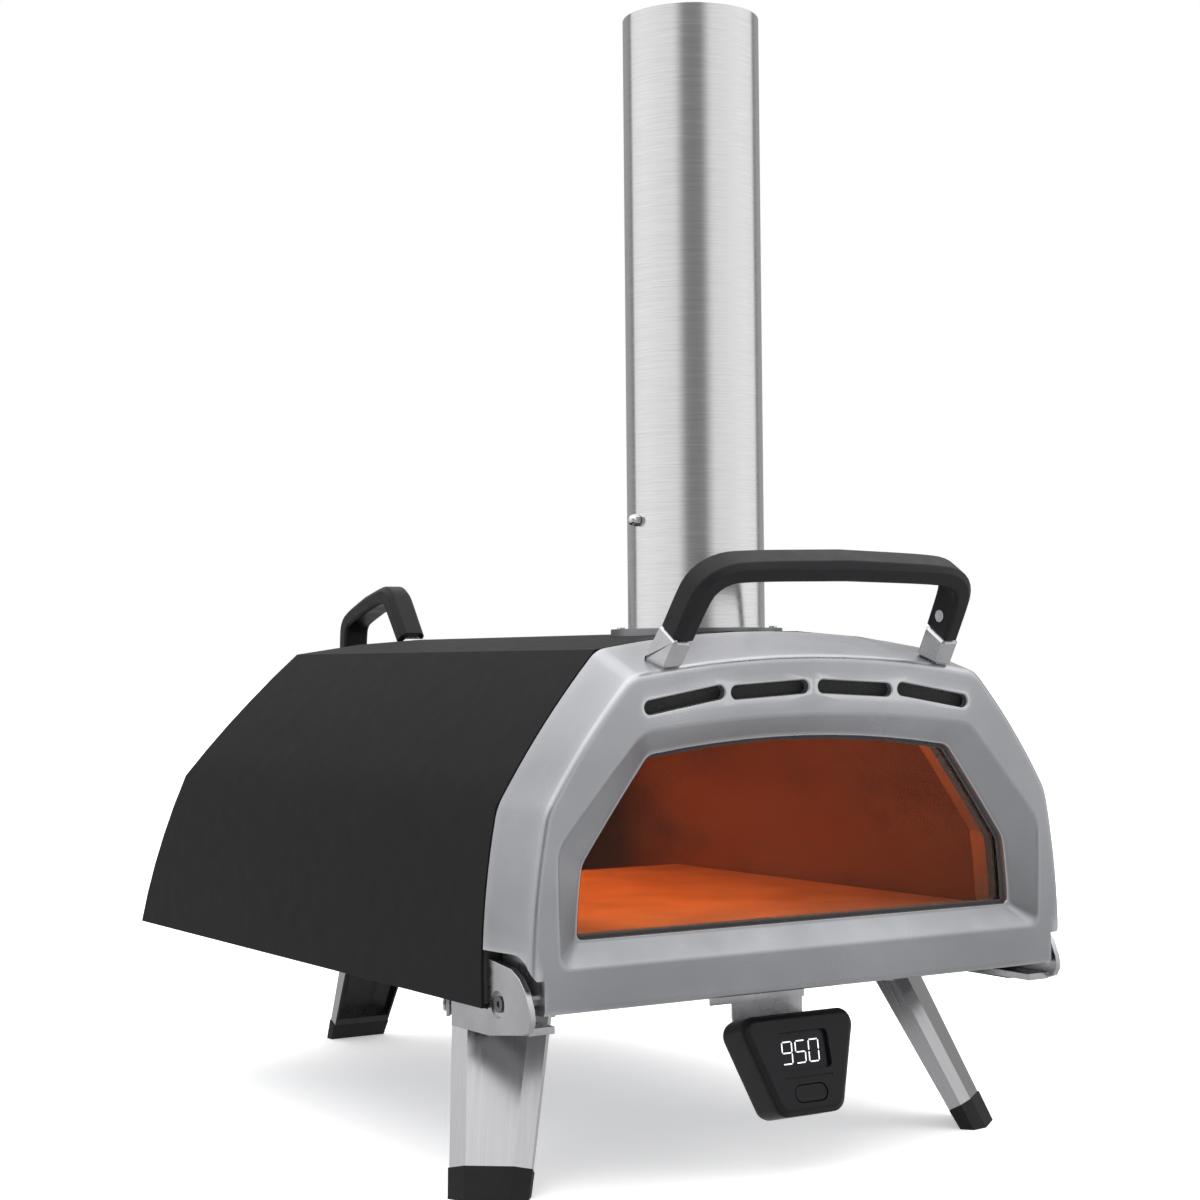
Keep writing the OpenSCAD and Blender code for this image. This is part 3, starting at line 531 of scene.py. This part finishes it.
def slot_loop(place, y, grow):
    """An air slot's round-ended outline at depth y, grown by some mm."""
    loop = []
    tilt = math.radians(place[2])
    r = VENT_R + grow
    for side in (1, -1):
        for k in range(SIDE_STEPS + 1):
            a = math.radians(-90 + 180 * k / SIDE_STEPS) + (0 if side > 0 else math.pi)
            x = side * VENT_HALF + r * math.cos(a)
            z = r * math.sin(a)
            loop.append(
                at(
                    place[0] + x * math.cos(tilt) - z * math.sin(tilt),
                    y,
                    place[1] + x * math.sin(tilt) + z * math.cos(tilt),
                )
            )
    return loop


def prism(loop_a, loop_b):
    """A cutting tool between two outlines."""
    bm = bmesh.new()
    solid(bm, [loop_a, loop_b])
    return plain_object(bm)


def casting_loops():
    """The casting's outlines in order: outer side, front edge, window recess, back."""
    loops = [door_loop(DOOR_DEPTH, 6, 4), door_loop(DOOR_DEPTH, 1.0), door_loop(54.9, 0.15)]
    loops += [door_loop(y, 0) for y in (54, 46, 38, 30, 23, 16, 10)]
    for k in range(7):
        a = math.radians(90 * k / 6)
        loops.append(door_loop(EDGE_R * (1 - math.sin(a)), EDGE_R * (1 - math.cos(a))))
    rim, bezel = door_loop(0, EDGE_R + 0.6), shaped_loop(RECESS, 0, -3.4, 9)
    loops += [[a.lerp(b, k / 6) for a, b in zip(rim, bezel)] for k in range(7)]
    for inset, y in ((-2.6, 0), (-1.9, 0), (-1.1, 0.12), (-0.3, 0.45), (0.5, 0.95), (1.4, 1.55)):
        loops.append(shaped_loop(RECESS, y, inset, 9))
    lip = ((-3.2, 11.0), (-2.2, 11.65), (-1.5, 11.95), (-0.9, 12.0), (-0.3, 12.15), (0, 12.7))
    for inset, y in lip + ((0, 16), (-9.3, 16), (-9.3, 23), (-16, 23)):
        loops.append(shaped_loop(WINDOW, y, inset, 5))
    loops += [shaped_loop(RECESS, 20, -4, 9), shaped_loop(RECESS, 6, -4, 9)]
    return loops + [door_loop(6, 9, 4)]


def hinge_pocket(side):
    """The pocket for the bracket in a lower corner, as a cutting tool, and its inner cheek."""
    # in y and z, with a rounded front corner
    profile = [(80, 120), (80, 171), (24, 171)]
    for k in range(9):
        a = math.radians(90 * k / 8)
        profile.append((21 - 22 * math.sin(a), 149 + 22 * math.cos(a)))
    profile += [(-1, 120)]
    inner, outer = [[at(side * x, y, z) for y, z in profile] for x in (220.5, 262)]
    cheek = [(1.2, 132.5), (54.6, 132.5), (54.6, 176), (22, 176), (8, 170), (1.2, 158)]
    return prism(inner, outer), [[at(side * x, y, z) for y, z in cheek] for x in (216, 220.4)]


def build_door():
    """The casting: drafted sides, rounded front, bevelled window recess, slots, hinge pockets."""
    bm = bmesh.new()
    loft(bm, casting_loops())
    door = plain_object(bm)
    pockets = [hinge_pocket(side) for side in (1, -1)]
    tools = [tool for tool, _ in pockets]
    for v in VENTS:
        tools.append(prism(slot_loop(v, -1, VENT_CUT), slot_loop(v, 18, VENT_CUT)))
    cut(door, tools)
    bm = take_bmesh(door)
    lip = [(VENT_CUT, 5.5), (VENT_CUT, 0), (1.15, 0), (0.75, 0.12)]
    lip += [(0.35, 0.45), (0.08, 0.95), (0, 1.5), (0, 5.5)]
    for v in VENTS:
        loft(bm, [slot_loop(v, y, grow) for grow, y in lip])
    for _, cheek in pockets:
        solid(bm, cheek)
    bmesh.ops.recalc_face_normals(bm, faces=bm.faces)
    settle(new_object("door_casting", bm, "cast_aluminium", 36), "door_frame")


def build_seals_and_slot_shade():
    """Black sheet behind the slots, as painted shade in them, and the black seal behind the glass.
    """
    bm = bmesh.new()
    # painted shade: a black sheet behind each air slot
    for v in VENTS:
        solid(bm, [slot_loop(v, y, 3.5) for y in (9, 10)])
    seal = ((1.8, 22.7), (1.8, 30), (0.4, 30), (0.4, 22.7))
    loft(bm, [shaped_loop(WINDOW, y, inset, 5) for inset, y in seal])
    fix_normals(bm)
    add(new_object("door_seals_and_painted_slot_shade", bm, "gasket"), "door")


# ---------- handles ----------


GRIP_DEPTH = 25
GRIP_ROWS = 30  # sections along half a grip
OUTER_CHAMFER, INNER_CHAMFER = 4.8, 2.4
DOOR_HANDLE_LEAN = math.radians(33)
HATCH_SLOPE = math.radians(16)


def chaikin(points):
    """A line with its corners cut three times."""
    for _ in range(3):
        out = [points[0]]
        for a, b in zip(points, points[1:]):
            out += [a * 0.75 + b * 0.25, a * 0.25 + b * 0.75]
        points = out + [points[-1]]
    return points


def resample(points, count):
    """Evenly spaced points along a line."""
    lengths = [0.0]
    for a, b in zip(points, points[1:]):
        lengths.append(lengths[-1] + (b - a).length)
    out = []
    for i in range(count):
        target = lengths[-1] * i / (count - 1)
        k = max(j for j in range(len(lengths)) if lengths[j] <= target + 1e-12)
        k = min(k, len(points) - 2)
        s = (target - lengths[k]) / max(1e-12, lengths[k + 1] - lengths[k])
        out.append(points[k] * (1 - s) + points[k + 1] * s)
    return out


def grip_mesh(outer, inner, place):
    """A grip swept between two half outlines, with an eight-sided section and soft arrises.
    place maps (along, across, out) in mm to the row frame."""
    outer = resample(chaikin([Vector(p) for p in outer]), GRIP_ROWS)
    inner = resample(chaikin([Vector(p) for p in inner]), GRIP_ROWS)
    pairs = list(zip(outer, inner))
    pairs += [(Vector((-o.x, o.y)), Vector((-i.x, i.y))) for o, i in reversed(pairs[:-1])]
    big, small, half = OUTER_CHAMFER, INNER_CHAMFER, GRIP_DEPTH / 2
    loops = []
    for o, i in pairs:
        t = (o - i).length
        n = (o - i) / t
        section = [  # depth below the outer face, and across
            (0, -half + big), (0, half - big), (big, half), (t - small, half),
            (t, half - small), (t, -half + small), (t - small, -half), (big, -half),
        ]
        points = [(o - n * d, across) for d, across in section]
        loops.append([place(p.x, across, p.y) for p, across in points])
    bm = bmesh.new()
    solid(bm, loops)
    fix_normals(bm)
    return bm


def on_door_top(x, y, z):
    """From the door handle's frame, leaning forward from the door's top."""
    c, s = math.cos(DOOR_HANDLE_LEAN), math.sin(DOOR_HANDLE_LEAN)
    return at(x, 13.4 + y * c - z * s, 356 + y * s + z * c)


def on_hatch(x, y, z):
    """From the hatch handle's frame, which runs down the lid's slope."""
    c, s = math.cos(HATCH_SLOPE), math.sin(HATCH_SLOPE)
    down = 117 + x
    return at(-y, 550 + down * c + z * s, 372 - down * s + z * c)


def build_grips():
    door_outer = [(124.4, 28.3), (122, 60), (119.5, 69), (113.5, 78)]
    door_outer += [(103, 84.5), (88, 88.5), (0, 91)]
    door_inner = [(108.9, 28.9), (106, 58), (103.5, 65), (97, 71), (86, 74), (0, 75.5)]
    hatch_outer = [(72.5, 29.5), (58, 70), (54.5, 77), (48, 83), (39, 86), (0, 88)]
    hatch_inner = [(57.8, 24.2), (43, 63), (40, 67.5), (34, 70.5), (0, 71.5)]
    for node, outer, inner, place in (
        ("door_grip", door_outer, door_inner, on_door_top),
        ("hatch_grip", hatch_outer, hatch_inner, on_hatch),
    ):
        bm = grip_mesh(outer, inner, place)
        bevel(bm, 0.9 * MM, 3, angle=28, pick=any_edge)
        settle(new_object(node + "_moulding", bm, "nylon_black", 40), node)


# ---------- thermometer ----------

HUB_TILT = math.radians(15)


def hub_place(x, y, z):
    """From the thermometer's tilted frame, centred on its face."""
    c, s = math.cos(HUB_TILT), math.sin(HUB_TILT)
    return at(x, 13 + y * c + z * s, 79 - y * s + z * c)


def hub_loop(t, y):
    """The case's rounded trapezoid, inset by t, at depth y in the case's frame."""
    r, side, low, w, h = 11, -17, 20, 96, 71
    loop = []
    corners = [
        (low, -h / 2 + r, -90, side), (w / 2 - r, h / 2 - r, side, 90),
        (-w / 2 + r, h / 2 - r, 90, 180 - side), (-low, -h / 2 + r, 180 - side, 270),
    ]
    for cx, cz, a0, a1 in corners:
        for k in range(11):
            a = math.radians(a0 + (a1 - a0) * k / 10)
            loop.append(hub_place(cx + (r - t) * math.cos(a), y, cz + (r - t) * math.sin(a)))
    return loop


def rounded_rect(x0, x1, z0, z1, r, y, grow=0.0):
    """A rounded rectangle at depth y in the case's frame, grown by some mm."""
    loop = []
    right, left, top, bottom = x1 - r, x0 + r, z1 - r, z0 + r
    for cx, cz, a0 in ((right, bottom, -90), (right, top, 0), (left, top, 90), (left, bottom, 180)):
        for k in range(7):
            a = math.radians(a0 + 15 * k)
            loop.append(hub_place(cx + (r + grow) * math.cos(a), y, cz + (r + grow) * math.sin(a)))
    return loop


# seven-segment bars: a top, b and c right, d bottom, e and f left, g middle
SEGMENTS = {"0": "abcdef", "9": "abcdfg", "5": "acdfg"}
DIGIT_WIDTH, DIGIT_HEIGHT, BAR_WIDTH, BAR_GAP = 8.4, 15.2, 0.85, 0.45
DIGIT_PITCH, DIGIT_X, DIGIT_Z, DIGIT_LEAN = 11.6, -13.2, 8.0, 0.09


def build_digits():
    """A plain number on the display."""
    bm = bmesh.new()
    w, h, tip = DIGIT_WIDTH, DIGIT_HEIGHT, BAR_WIDTH / 2
    bars = {  # each bar's centre and its length along x or z
        "a": (0, h / 2, w, 0), "d": (0, -h / 2, w, 0), "g": (0, 0, w, 0),
        "b": (w / 2, h / 4, 0, h / 2), "c": (w / 2, -h / 4, 0, h / 2),
        "f": (-w / 2, h / 4, 0, h / 2), "e": (-w / 2, -h / 4, 0, h / 2),
    }
    for k, digit in enumerate("950"):
        cx = DIGIT_X + k * DIGIT_PITCH
        for name in SEGMENTS[digit]:
            bx, bz, lx, lz = bars[name]
            half = (max(lx, lz) / 2) - BAR_GAP
            right = [(half - tip, -tip), (half, 0), (half - tip, tip)]
            shape = [(-half, 0), (-half + tip, -tip), *right, (-half + tip, tip)]
            points = [(a, b) if lx else (b, a) for a, b in shape]
            loops = []
            for y in (2.95, 2.8):
                loops.append(
                    [
                        hub_place(cx + bx + p + (bz + q) * DIGIT_LEAN, y, DIGIT_Z + bz + q)
                        for p, q in points
                    ]
                )
            solid(bm, loops)
    fix_normals(bm)
    add(new_object("display_number", bm, "digits", 30), "oven")


def hub_cut(rect, r, depth):
    """A tool that cuts a rounded rectangle into the case's face."""
    return prism(rounded_rect(*rect, r, -1), rounded_rect(*rect, r, depth))


def build_hub():
    """The thermometer: case, face plate, display window, button and number."""
    bm = bmesh.new()
    profile = [(14, 31), (5, 31), (2.2, 30.2), (0.7, 28.6), (0, 26)]
    profile += [(0, 8), (0, 4.5), (0.35, 3.5), (1.0, 3.05), (14, 3.05)]
    loft(bm, [hub_loop(t, y) for t, y in profile])
    fix_normals(bm)
    settle(new_object("hub_case_moulding", bm, "hub_plastic", 40), "hub_case")

    bm = bmesh.new()
    profile = [(1.3, 2.95), (1.3, 2.6), (1.6, 2.0), (3.6, 0.55), (4.2, 0.2), (5.0, 0.0), (5.6, 0.0)]
    solid(bm, [hub_loop(t, y) for t, y in profile])
    face = plain_object(bm)
    display = hub_cut((-22, 22, -5, 22), 3.5, 3.5)
    groove = hub_cut((-21, 21, -10.4, -9.3), 0.5, 0.7)
    button_hole = hub_cut((-14.4, 14.4, -27.4, -14.6), 6.3, 3.5)
    cut(face, [display, groove, button_hole])
    bm = take_bmesh(face)
    bevel(bm, 0.25 * MM, 2, angle=50, pick=any_edge)
    settle(new_object("hub_face_moulding", bm, "hub_plastic", 36), "hub_face")

    bm = bmesh.new()
    solid(bm, [rounded_rect(-23.5, 23.5, -7.5, 23.5, 4, y) for y in (5, 3.0)])
    fix_normals(bm)
    settle(new_object("hub_display_window", bm, "display_black", 40), "hub_display")

    bm = bmesh.new()
    profile = [(1.4, 4.4), (1.4, 3.4), (-0.1, 3.3), (-0.1, 1.0), (-0.3, 0.55), (-0.8, 0.25)]
    profile += [(-1.6, 0.15), (-2.0, 0.3), (-2.6, 0.45)]
    solid(bm, [rounded_rect(-14, 14, -27, -15, 6, y, grow) for grow, y in profile])
    fix_normals(bm)
    settle(new_object("hub_button_moulding", bm, "hub_plastic", 50), "hub_button")
    build_digits()


# ---------- body ----------


def long_edge(min_mm, axis):
    """Picks edges longer than min_mm that run along an axis."""

    def pick(e):
        d = e.verts[1].co - e.verts[0].co
        return d.length > min_mm * MM and abs(d[axis]) > 0.9 * d.length

    return pick


def longer(min_mm):
    """Picks edges longer than min_mm."""
    return lambda e: e.calc_length() > min_mm * MM


LEG_LEAN = math.radians(-26.9)
LEGS = {  # pivot's x and y, and heading in degrees
    "front_left": (-176.5, 132.5, -38.5),
    "front_right": (176.5, 132.5, 38.5),
    "rear": (0, 667, 180),
}
PIVOT_Z = 120
FOOT_JOINT_DROP = 3.5  # in the photograph the foot's rim sits this much lower than in the CAD


def leg_turn(heading):
    """Turns an upright leg to its splayed place."""
    return Matrix.Rotation(math.radians(heading), 3, "Z") @ Matrix.Rotation(LEG_LEAN, 3, "X")


def paint_hollow_shade(leg, x, y, heading):
    """Painted shade: a dark metal on the faces inside a leg's folded section, which stand in shade
    and reflect the dark underside.
    """
    upright = leg_turn(heading).inverted()
    pivot = at(x, y, PIVOT_Z)
    leg.data.materials.append(HOLLOW_SHADE)
    for f in leg.data.polygons:
        p = upright @ (f.center - pivot) / MM
        n = upright @ f.normal
        half = 34.5 + 7.5 * p.z / 118  # the leg narrows downwards
        side = 1 if p.x > 0 else -1
        inside = n.x * side < -0.3 or (n.y > 0.5 and abs(p.x) < half - 2)
        if abs(p.x) < half - 0.75 and inside:
            f.material_index = 1


def build_leg(place, x, y, heading):
    """A leg and its foot, with the joint between them lowered."""
    turn = (LEG_LEAN, 0, math.radians(heading))
    leg = refine(f"leg_{place}", (1.6, 4, longer(12)), smooth=36)
    finish = brushed(f"leg_brushed_{place}", LEG_STEEL, 0.24, (1500, 1500, 10), turn)
    leg.data.materials[0] = finish
    paint_hollow_shade(leg, x, y, heading)
    foot = refine(f"foot_{place}", (1.8, 4, longer(8)), smooth=36)
    up = leg_turn(heading) @ Vector((0, 0, 1))
    ends = [v for v in foot.data.vertices if v.co.z > 11 * MM]
    ends += [v for v in leg.data.vertices if v.co.z < 26 * MM]
    for v in ends:
        v.co -= up * FOOT_JOINT_DROP * MM


def build_body():
    """The CAD nodes that keep their shape, with softened edges and their own finishes."""
    low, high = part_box("outer_shell")

    def rear_corner(e):
        mid = (e.verts[0].co + e.verts[1].co) / 2
        short = e.calc_length() < 3 * MM
        return short and mid.y > high.y - 4 * MM and mid.z < low.z + 4 * MM

    folds = long_edge(80, 1)
    refine("outer_shell", (6, 4, rear_corner), (3.2, 4, folds), (0.55, 2, longer(8)), smooth=36)
    refine("fuel_hatch", (0.7, 2, longer(6)))
    refine("fuel_box", (0.6, 2, longer(6)))
    refine("rear_panel", (0.5, 2, longer(12)))
    refine("front_frame", (0.5, 2, longer(12)), smooth=36)
    refine("inner_liner", (0.4, 2, longer(12)), smooth=36)
    refine("base_pan", (0.8, 2, longer(12)))
    refine("baking_stone", (2.5, 4, None))
    for side in ("left", "right"):
        refine(f"hinge_bracket_{side}", (0.9, 3, longer(4)), smooth=36)
    for place, (x, y, heading) in LEGS.items():
        build_leg(place, x, y, heading)
    for node in ("door_ferrules", "hatch_ferrules"):
        bm = cad_bmesh(node)
        bevel(bm, 2.4 * MM, 1, angle=60, pick=longer(14), clamp=False)
        bevel(bm, 0.4 * MM, 2, pick=longer(3))
        ferrules = settle(new_object(node + "_detail", bm, "cast_aluminium", 36), node)
        ferrules.data.materials[0] = FERRULE
    for node in (
        "hub_bracket", "leg_mounts", "tray_pull", "vent_slider", "fuel_tray", "fuel_grate",
    ):
        refine(node, (0.4, 2, longer(5)))
    for node in ("chimney_collar", "chimney_tube"):
        refine(node, (0.4, 2, longer(2)), smooth=36)
    reveal = refine("door_liner", (0.3, 2, longer(2)), smooth=36)
    reveal.data.materials[0] = metal("window_reveal", (0.66, 0.62, 0.54), 0.45)
    for node in ("damper_plate", "damper_lever", "stone_rails", "battery_cover", "glass_retainer"):
        refine(node, (0.3, 2, longer(2)), smooth=36)
    screws = refine("bracket_screws", (0.25, 2, longer(0.3)), smooth=36)
    # painted shade: the bracket screws get a dark metal, for the shade in their recesses
    screws.data.materials[0] = metal("screw_painted_recess_shade", (0.16, 0.16, 0.165), 0.25)
    for node in ("collar_screws", "retainer_screws", "door_handle_screws", "hatch_handle_screws"):
        refine(node, (0.25, 2, longer(0.3)), smooth=36)
    pins = ("leg_pins", "vent_studs", "door_hinge_pins", "damper_shaft", "temperature_probe")
    for node in ("damper_nut", *pins):
        refine(node, (0.3, 2, longer(0.3)), smooth=36)


# ---------- the rest ----------


def dress_remaining():
    """Materials for the CAD nodes that are shown as they are."""
    for node, obj in NODES.items():
        if obj.hide_render:
            continue
        obj.data.materials.clear()
        obj.data.materials.append(MATERIALS[SLOT_OF[node]])


def area_light(name, spot, target, size, power, color=(1, 1, 1), size_y=None):
    """A soft panel aimed at the target, seen neither directly nor in reflections."""
    data = bpy.data.lights.new(name, "AREA")
    data.energy = power
    data.color = color
    data.shape = "RECTANGLE"
    data.size = size
    data.size_y = size_y or size
    obj = bpy.data.objects.new(name, data)
    obj.location = spot
    obj.rotation_mode = "QUATERNION"
    obj.rotation_quaternion = (Vector(target) - Vector(spot)).to_track_quat("-Z", "Y")
    obj.visible_camera = False
    obj.visible_glossy = False
    bpy.context.scene.collection.objects.link(obj)


CAMERA_SPOT = (-960.9, -1243.8, 360.7)
CAMERA_TURN = (32.26, 1.57, -0.51)  # yaw, pitch and roll in degrees
CAMERA_LENS, CAMERA_SENSOR = 67.2, 36


def build_camera():
    """The photograph's camera."""
    yaw, pitch, roll = (math.radians(a) for a in CAMERA_TURN)
    level = math.cos(pitch)
    forward = Vector((math.sin(yaw) * level, math.cos(yaw) * level, math.sin(pitch)))
    right = Vector((math.cos(yaw), -math.sin(yaw), 0))
    up = right.cross(forward)
    r = right * math.cos(roll) + up * math.sin(roll)
    u = up * math.cos(roll) - right * math.sin(roll)
    data = bpy.data.cameras.new("camera")
    data.sensor_width = CAMERA_SENSOR
    data.lens = CAMERA_LENS
    data.clip_end = 200
    camera = bpy.data.objects.new("camera", data)
    turn = Matrix((r, u, -forward)).transposed()
    camera.matrix_world = Matrix.Translation(at(*CAMERA_SPOT)) @ turn.to_4x4()
    bpy.context.scene.collection.objects.link(camera)
    bpy.context.scene.camera = camera


# the studio's brightness all round, from the camera's way (0) to the far side (1)
AROUND = [(0, 0.22), (0.08, 0.24), (0.17, 0.86), (0.5, 1.0)]
AROUND += [(0.67, 0.95), (0.71, 0.10), (0.75, 0.36), (1, 0.40)]


def build_world():
    """Studio surroundings: white for the camera, soft panels for everything else."""
    world = bpy.data.worlds.new("studio")
    bpy.context.scene.world = world
    world.use_nodes = True
    tree = world.node_tree
    tree.nodes.clear()
    new = tree.nodes.new
    out = new("ShaderNodeOutputWorld")
    mix = new("ShaderNodeMixShader")
    plain = new("ShaderNodeBackground")
    plain.inputs["Color"].default_value = (1, 1, 1, 1)
    plain.inputs["Strength"].default_value = 1.0
    soft = new("ShaderNodeBackground")
    soft.inputs["Strength"].default_value = 1.0
    path = new("ShaderNodeLightPath")
    coords = new("ShaderNodeTexCoord")
    # angle away from the front-left, where the dark side of the studio is
    turn = new("ShaderNodeMapping")
    turn.inputs["Rotation"].default_value = (0, 0, math.radians(32.3))
    split = new("ShaderNodeSeparateXYZ")
    angle = new("ShaderNodeMath")
    angle.operation = "ARCTAN2"
    flip = new("ShaderNodeMath")
    flip.operation = "MULTIPLY"
    flip.inputs[1].default_value = -1
    size = new("ShaderNodeMath")
    size.operation = "ABSOLUTE"
    share = new("ShaderNodeMath")
    share.operation = "DIVIDE"
    share.inputs[1].default_value = math.pi
    around = new("ShaderNodeValToRGB")
    while len(around.color_ramp.elements) < len(AROUND):
        around.color_ramp.elements.new(0.5)
    for e, (pos, v) in zip(around.color_ramp.elements, AROUND):
        e.position = pos
        e.color = (v, v, v * 1.01, 1)
    height = new("ShaderNodeMapRange")
    height.inputs["From Min"].default_value = 0.35
    height.inputs["From Max"].default_value = 0.85
    ceiling = new("ShaderNodeMix")
    ceiling.data_type = "RGBA"
    ceiling.inputs["B"].default_value = (1.9, 1.9, 1.92, 1)
    drop = new("ShaderNodeMapRange")
    drop.inputs["From Min"].default_value = 0.0
    drop.inputs["From Max"].default_value = -0.25
    below = new("ShaderNodeMix")
    below.data_type = "RGBA"
    below.inputs["B"].default_value = (0.62, 0.62, 0.63, 1)
    link = tree.links.new
    link(coords.outputs["Generated"], turn.inputs["Vector"])
    link(turn.outputs["Vector"], split.inputs["Vector"])
    link(split.outputs["Y"], flip.inputs[0])
    link(split.outputs["X"], angle.inputs[0])
    link(flip.outputs[0], angle.inputs[1])
    link(angle.outputs[0], size.inputs[0])
    link(size.outputs[0], share.inputs[0])
    link(share.outputs[0], around.inputs["Fac"])
    link(split.outputs["Z"], height.inputs["Value"])
    link(height.outputs["Result"], ceiling.inputs["Factor"])
    link(around.outputs["Color"], ceiling.inputs["A"])
    link(split.outputs["Z"], drop.inputs["Value"])
    link(drop.outputs["Result"], below.inputs["Factor"])
    link(ceiling.outputs["Result"], below.inputs["A"])
    link(below.outputs["Result"], soft.inputs["Color"])
    link(path.outputs["Is Camera Ray"], mix.inputs["Fac"])
    link(soft.outputs[0], mix.inputs[1])
    link(plain.outputs[0], mix.inputs[2])
    link(mix.outputs[0], out.inputs["Surface"])


def build_stage():
    """Floor and studio lights."""
    bm = bmesh.new()
    bmesh.ops.create_grid(bm, x_segments=1, y_segments=1, size=40)
    mesh = bpy.data.meshes.new("floor")
    bm.to_mesh(mesh)
    bm.free()
    floor = bpy.data.objects.new("floor", mesh)
    bpy.context.scene.collection.objects.link(floor)
    mesh.materials.append(ground_material())
    floor.visible_glossy = False
    area_light("key", (-2.6, -2.2, 2.6), (0, -0.1, 0.3), 2.4, 46)
    area_light("fill", (2.4, -2.6, 1.6), (0, -0.1, 0.3), 2.0, 22)
    area_light("overhead", (0, 0.2, 3.2), (0, 0, 0.3), 3.0, 26)


def build_fire_glow():
    """Warm light inside the cavity, as from a lit fire."""
    ember = (1.0, 0.23, 0.035)
    area_light("fire_roof", at(0, 300, 340), at(0, 300, 150), 0.22, 1.5, ember, 0.36)
    area_light("fire_rear", at(0, 575, 240), at(0, 200, 220), 0.16, 1.6, ember, 0.12)
    area_light(
        "fire_floor", at(-60, 120, 326), at(-40, 160, 170), 0.16, 0.5, (1.0, 0.30, 0.06), 0.1
    )


build_camera()
build_world()
build_stage()
build_fire_glow()
build_body()
build_door()
build_seals_and_slot_shade()
build_grips()
build_hub()
dress_remaining()
bpy.context.scene.view_settings.view_transform = "Standard"

bpy.context.view_layer.update()
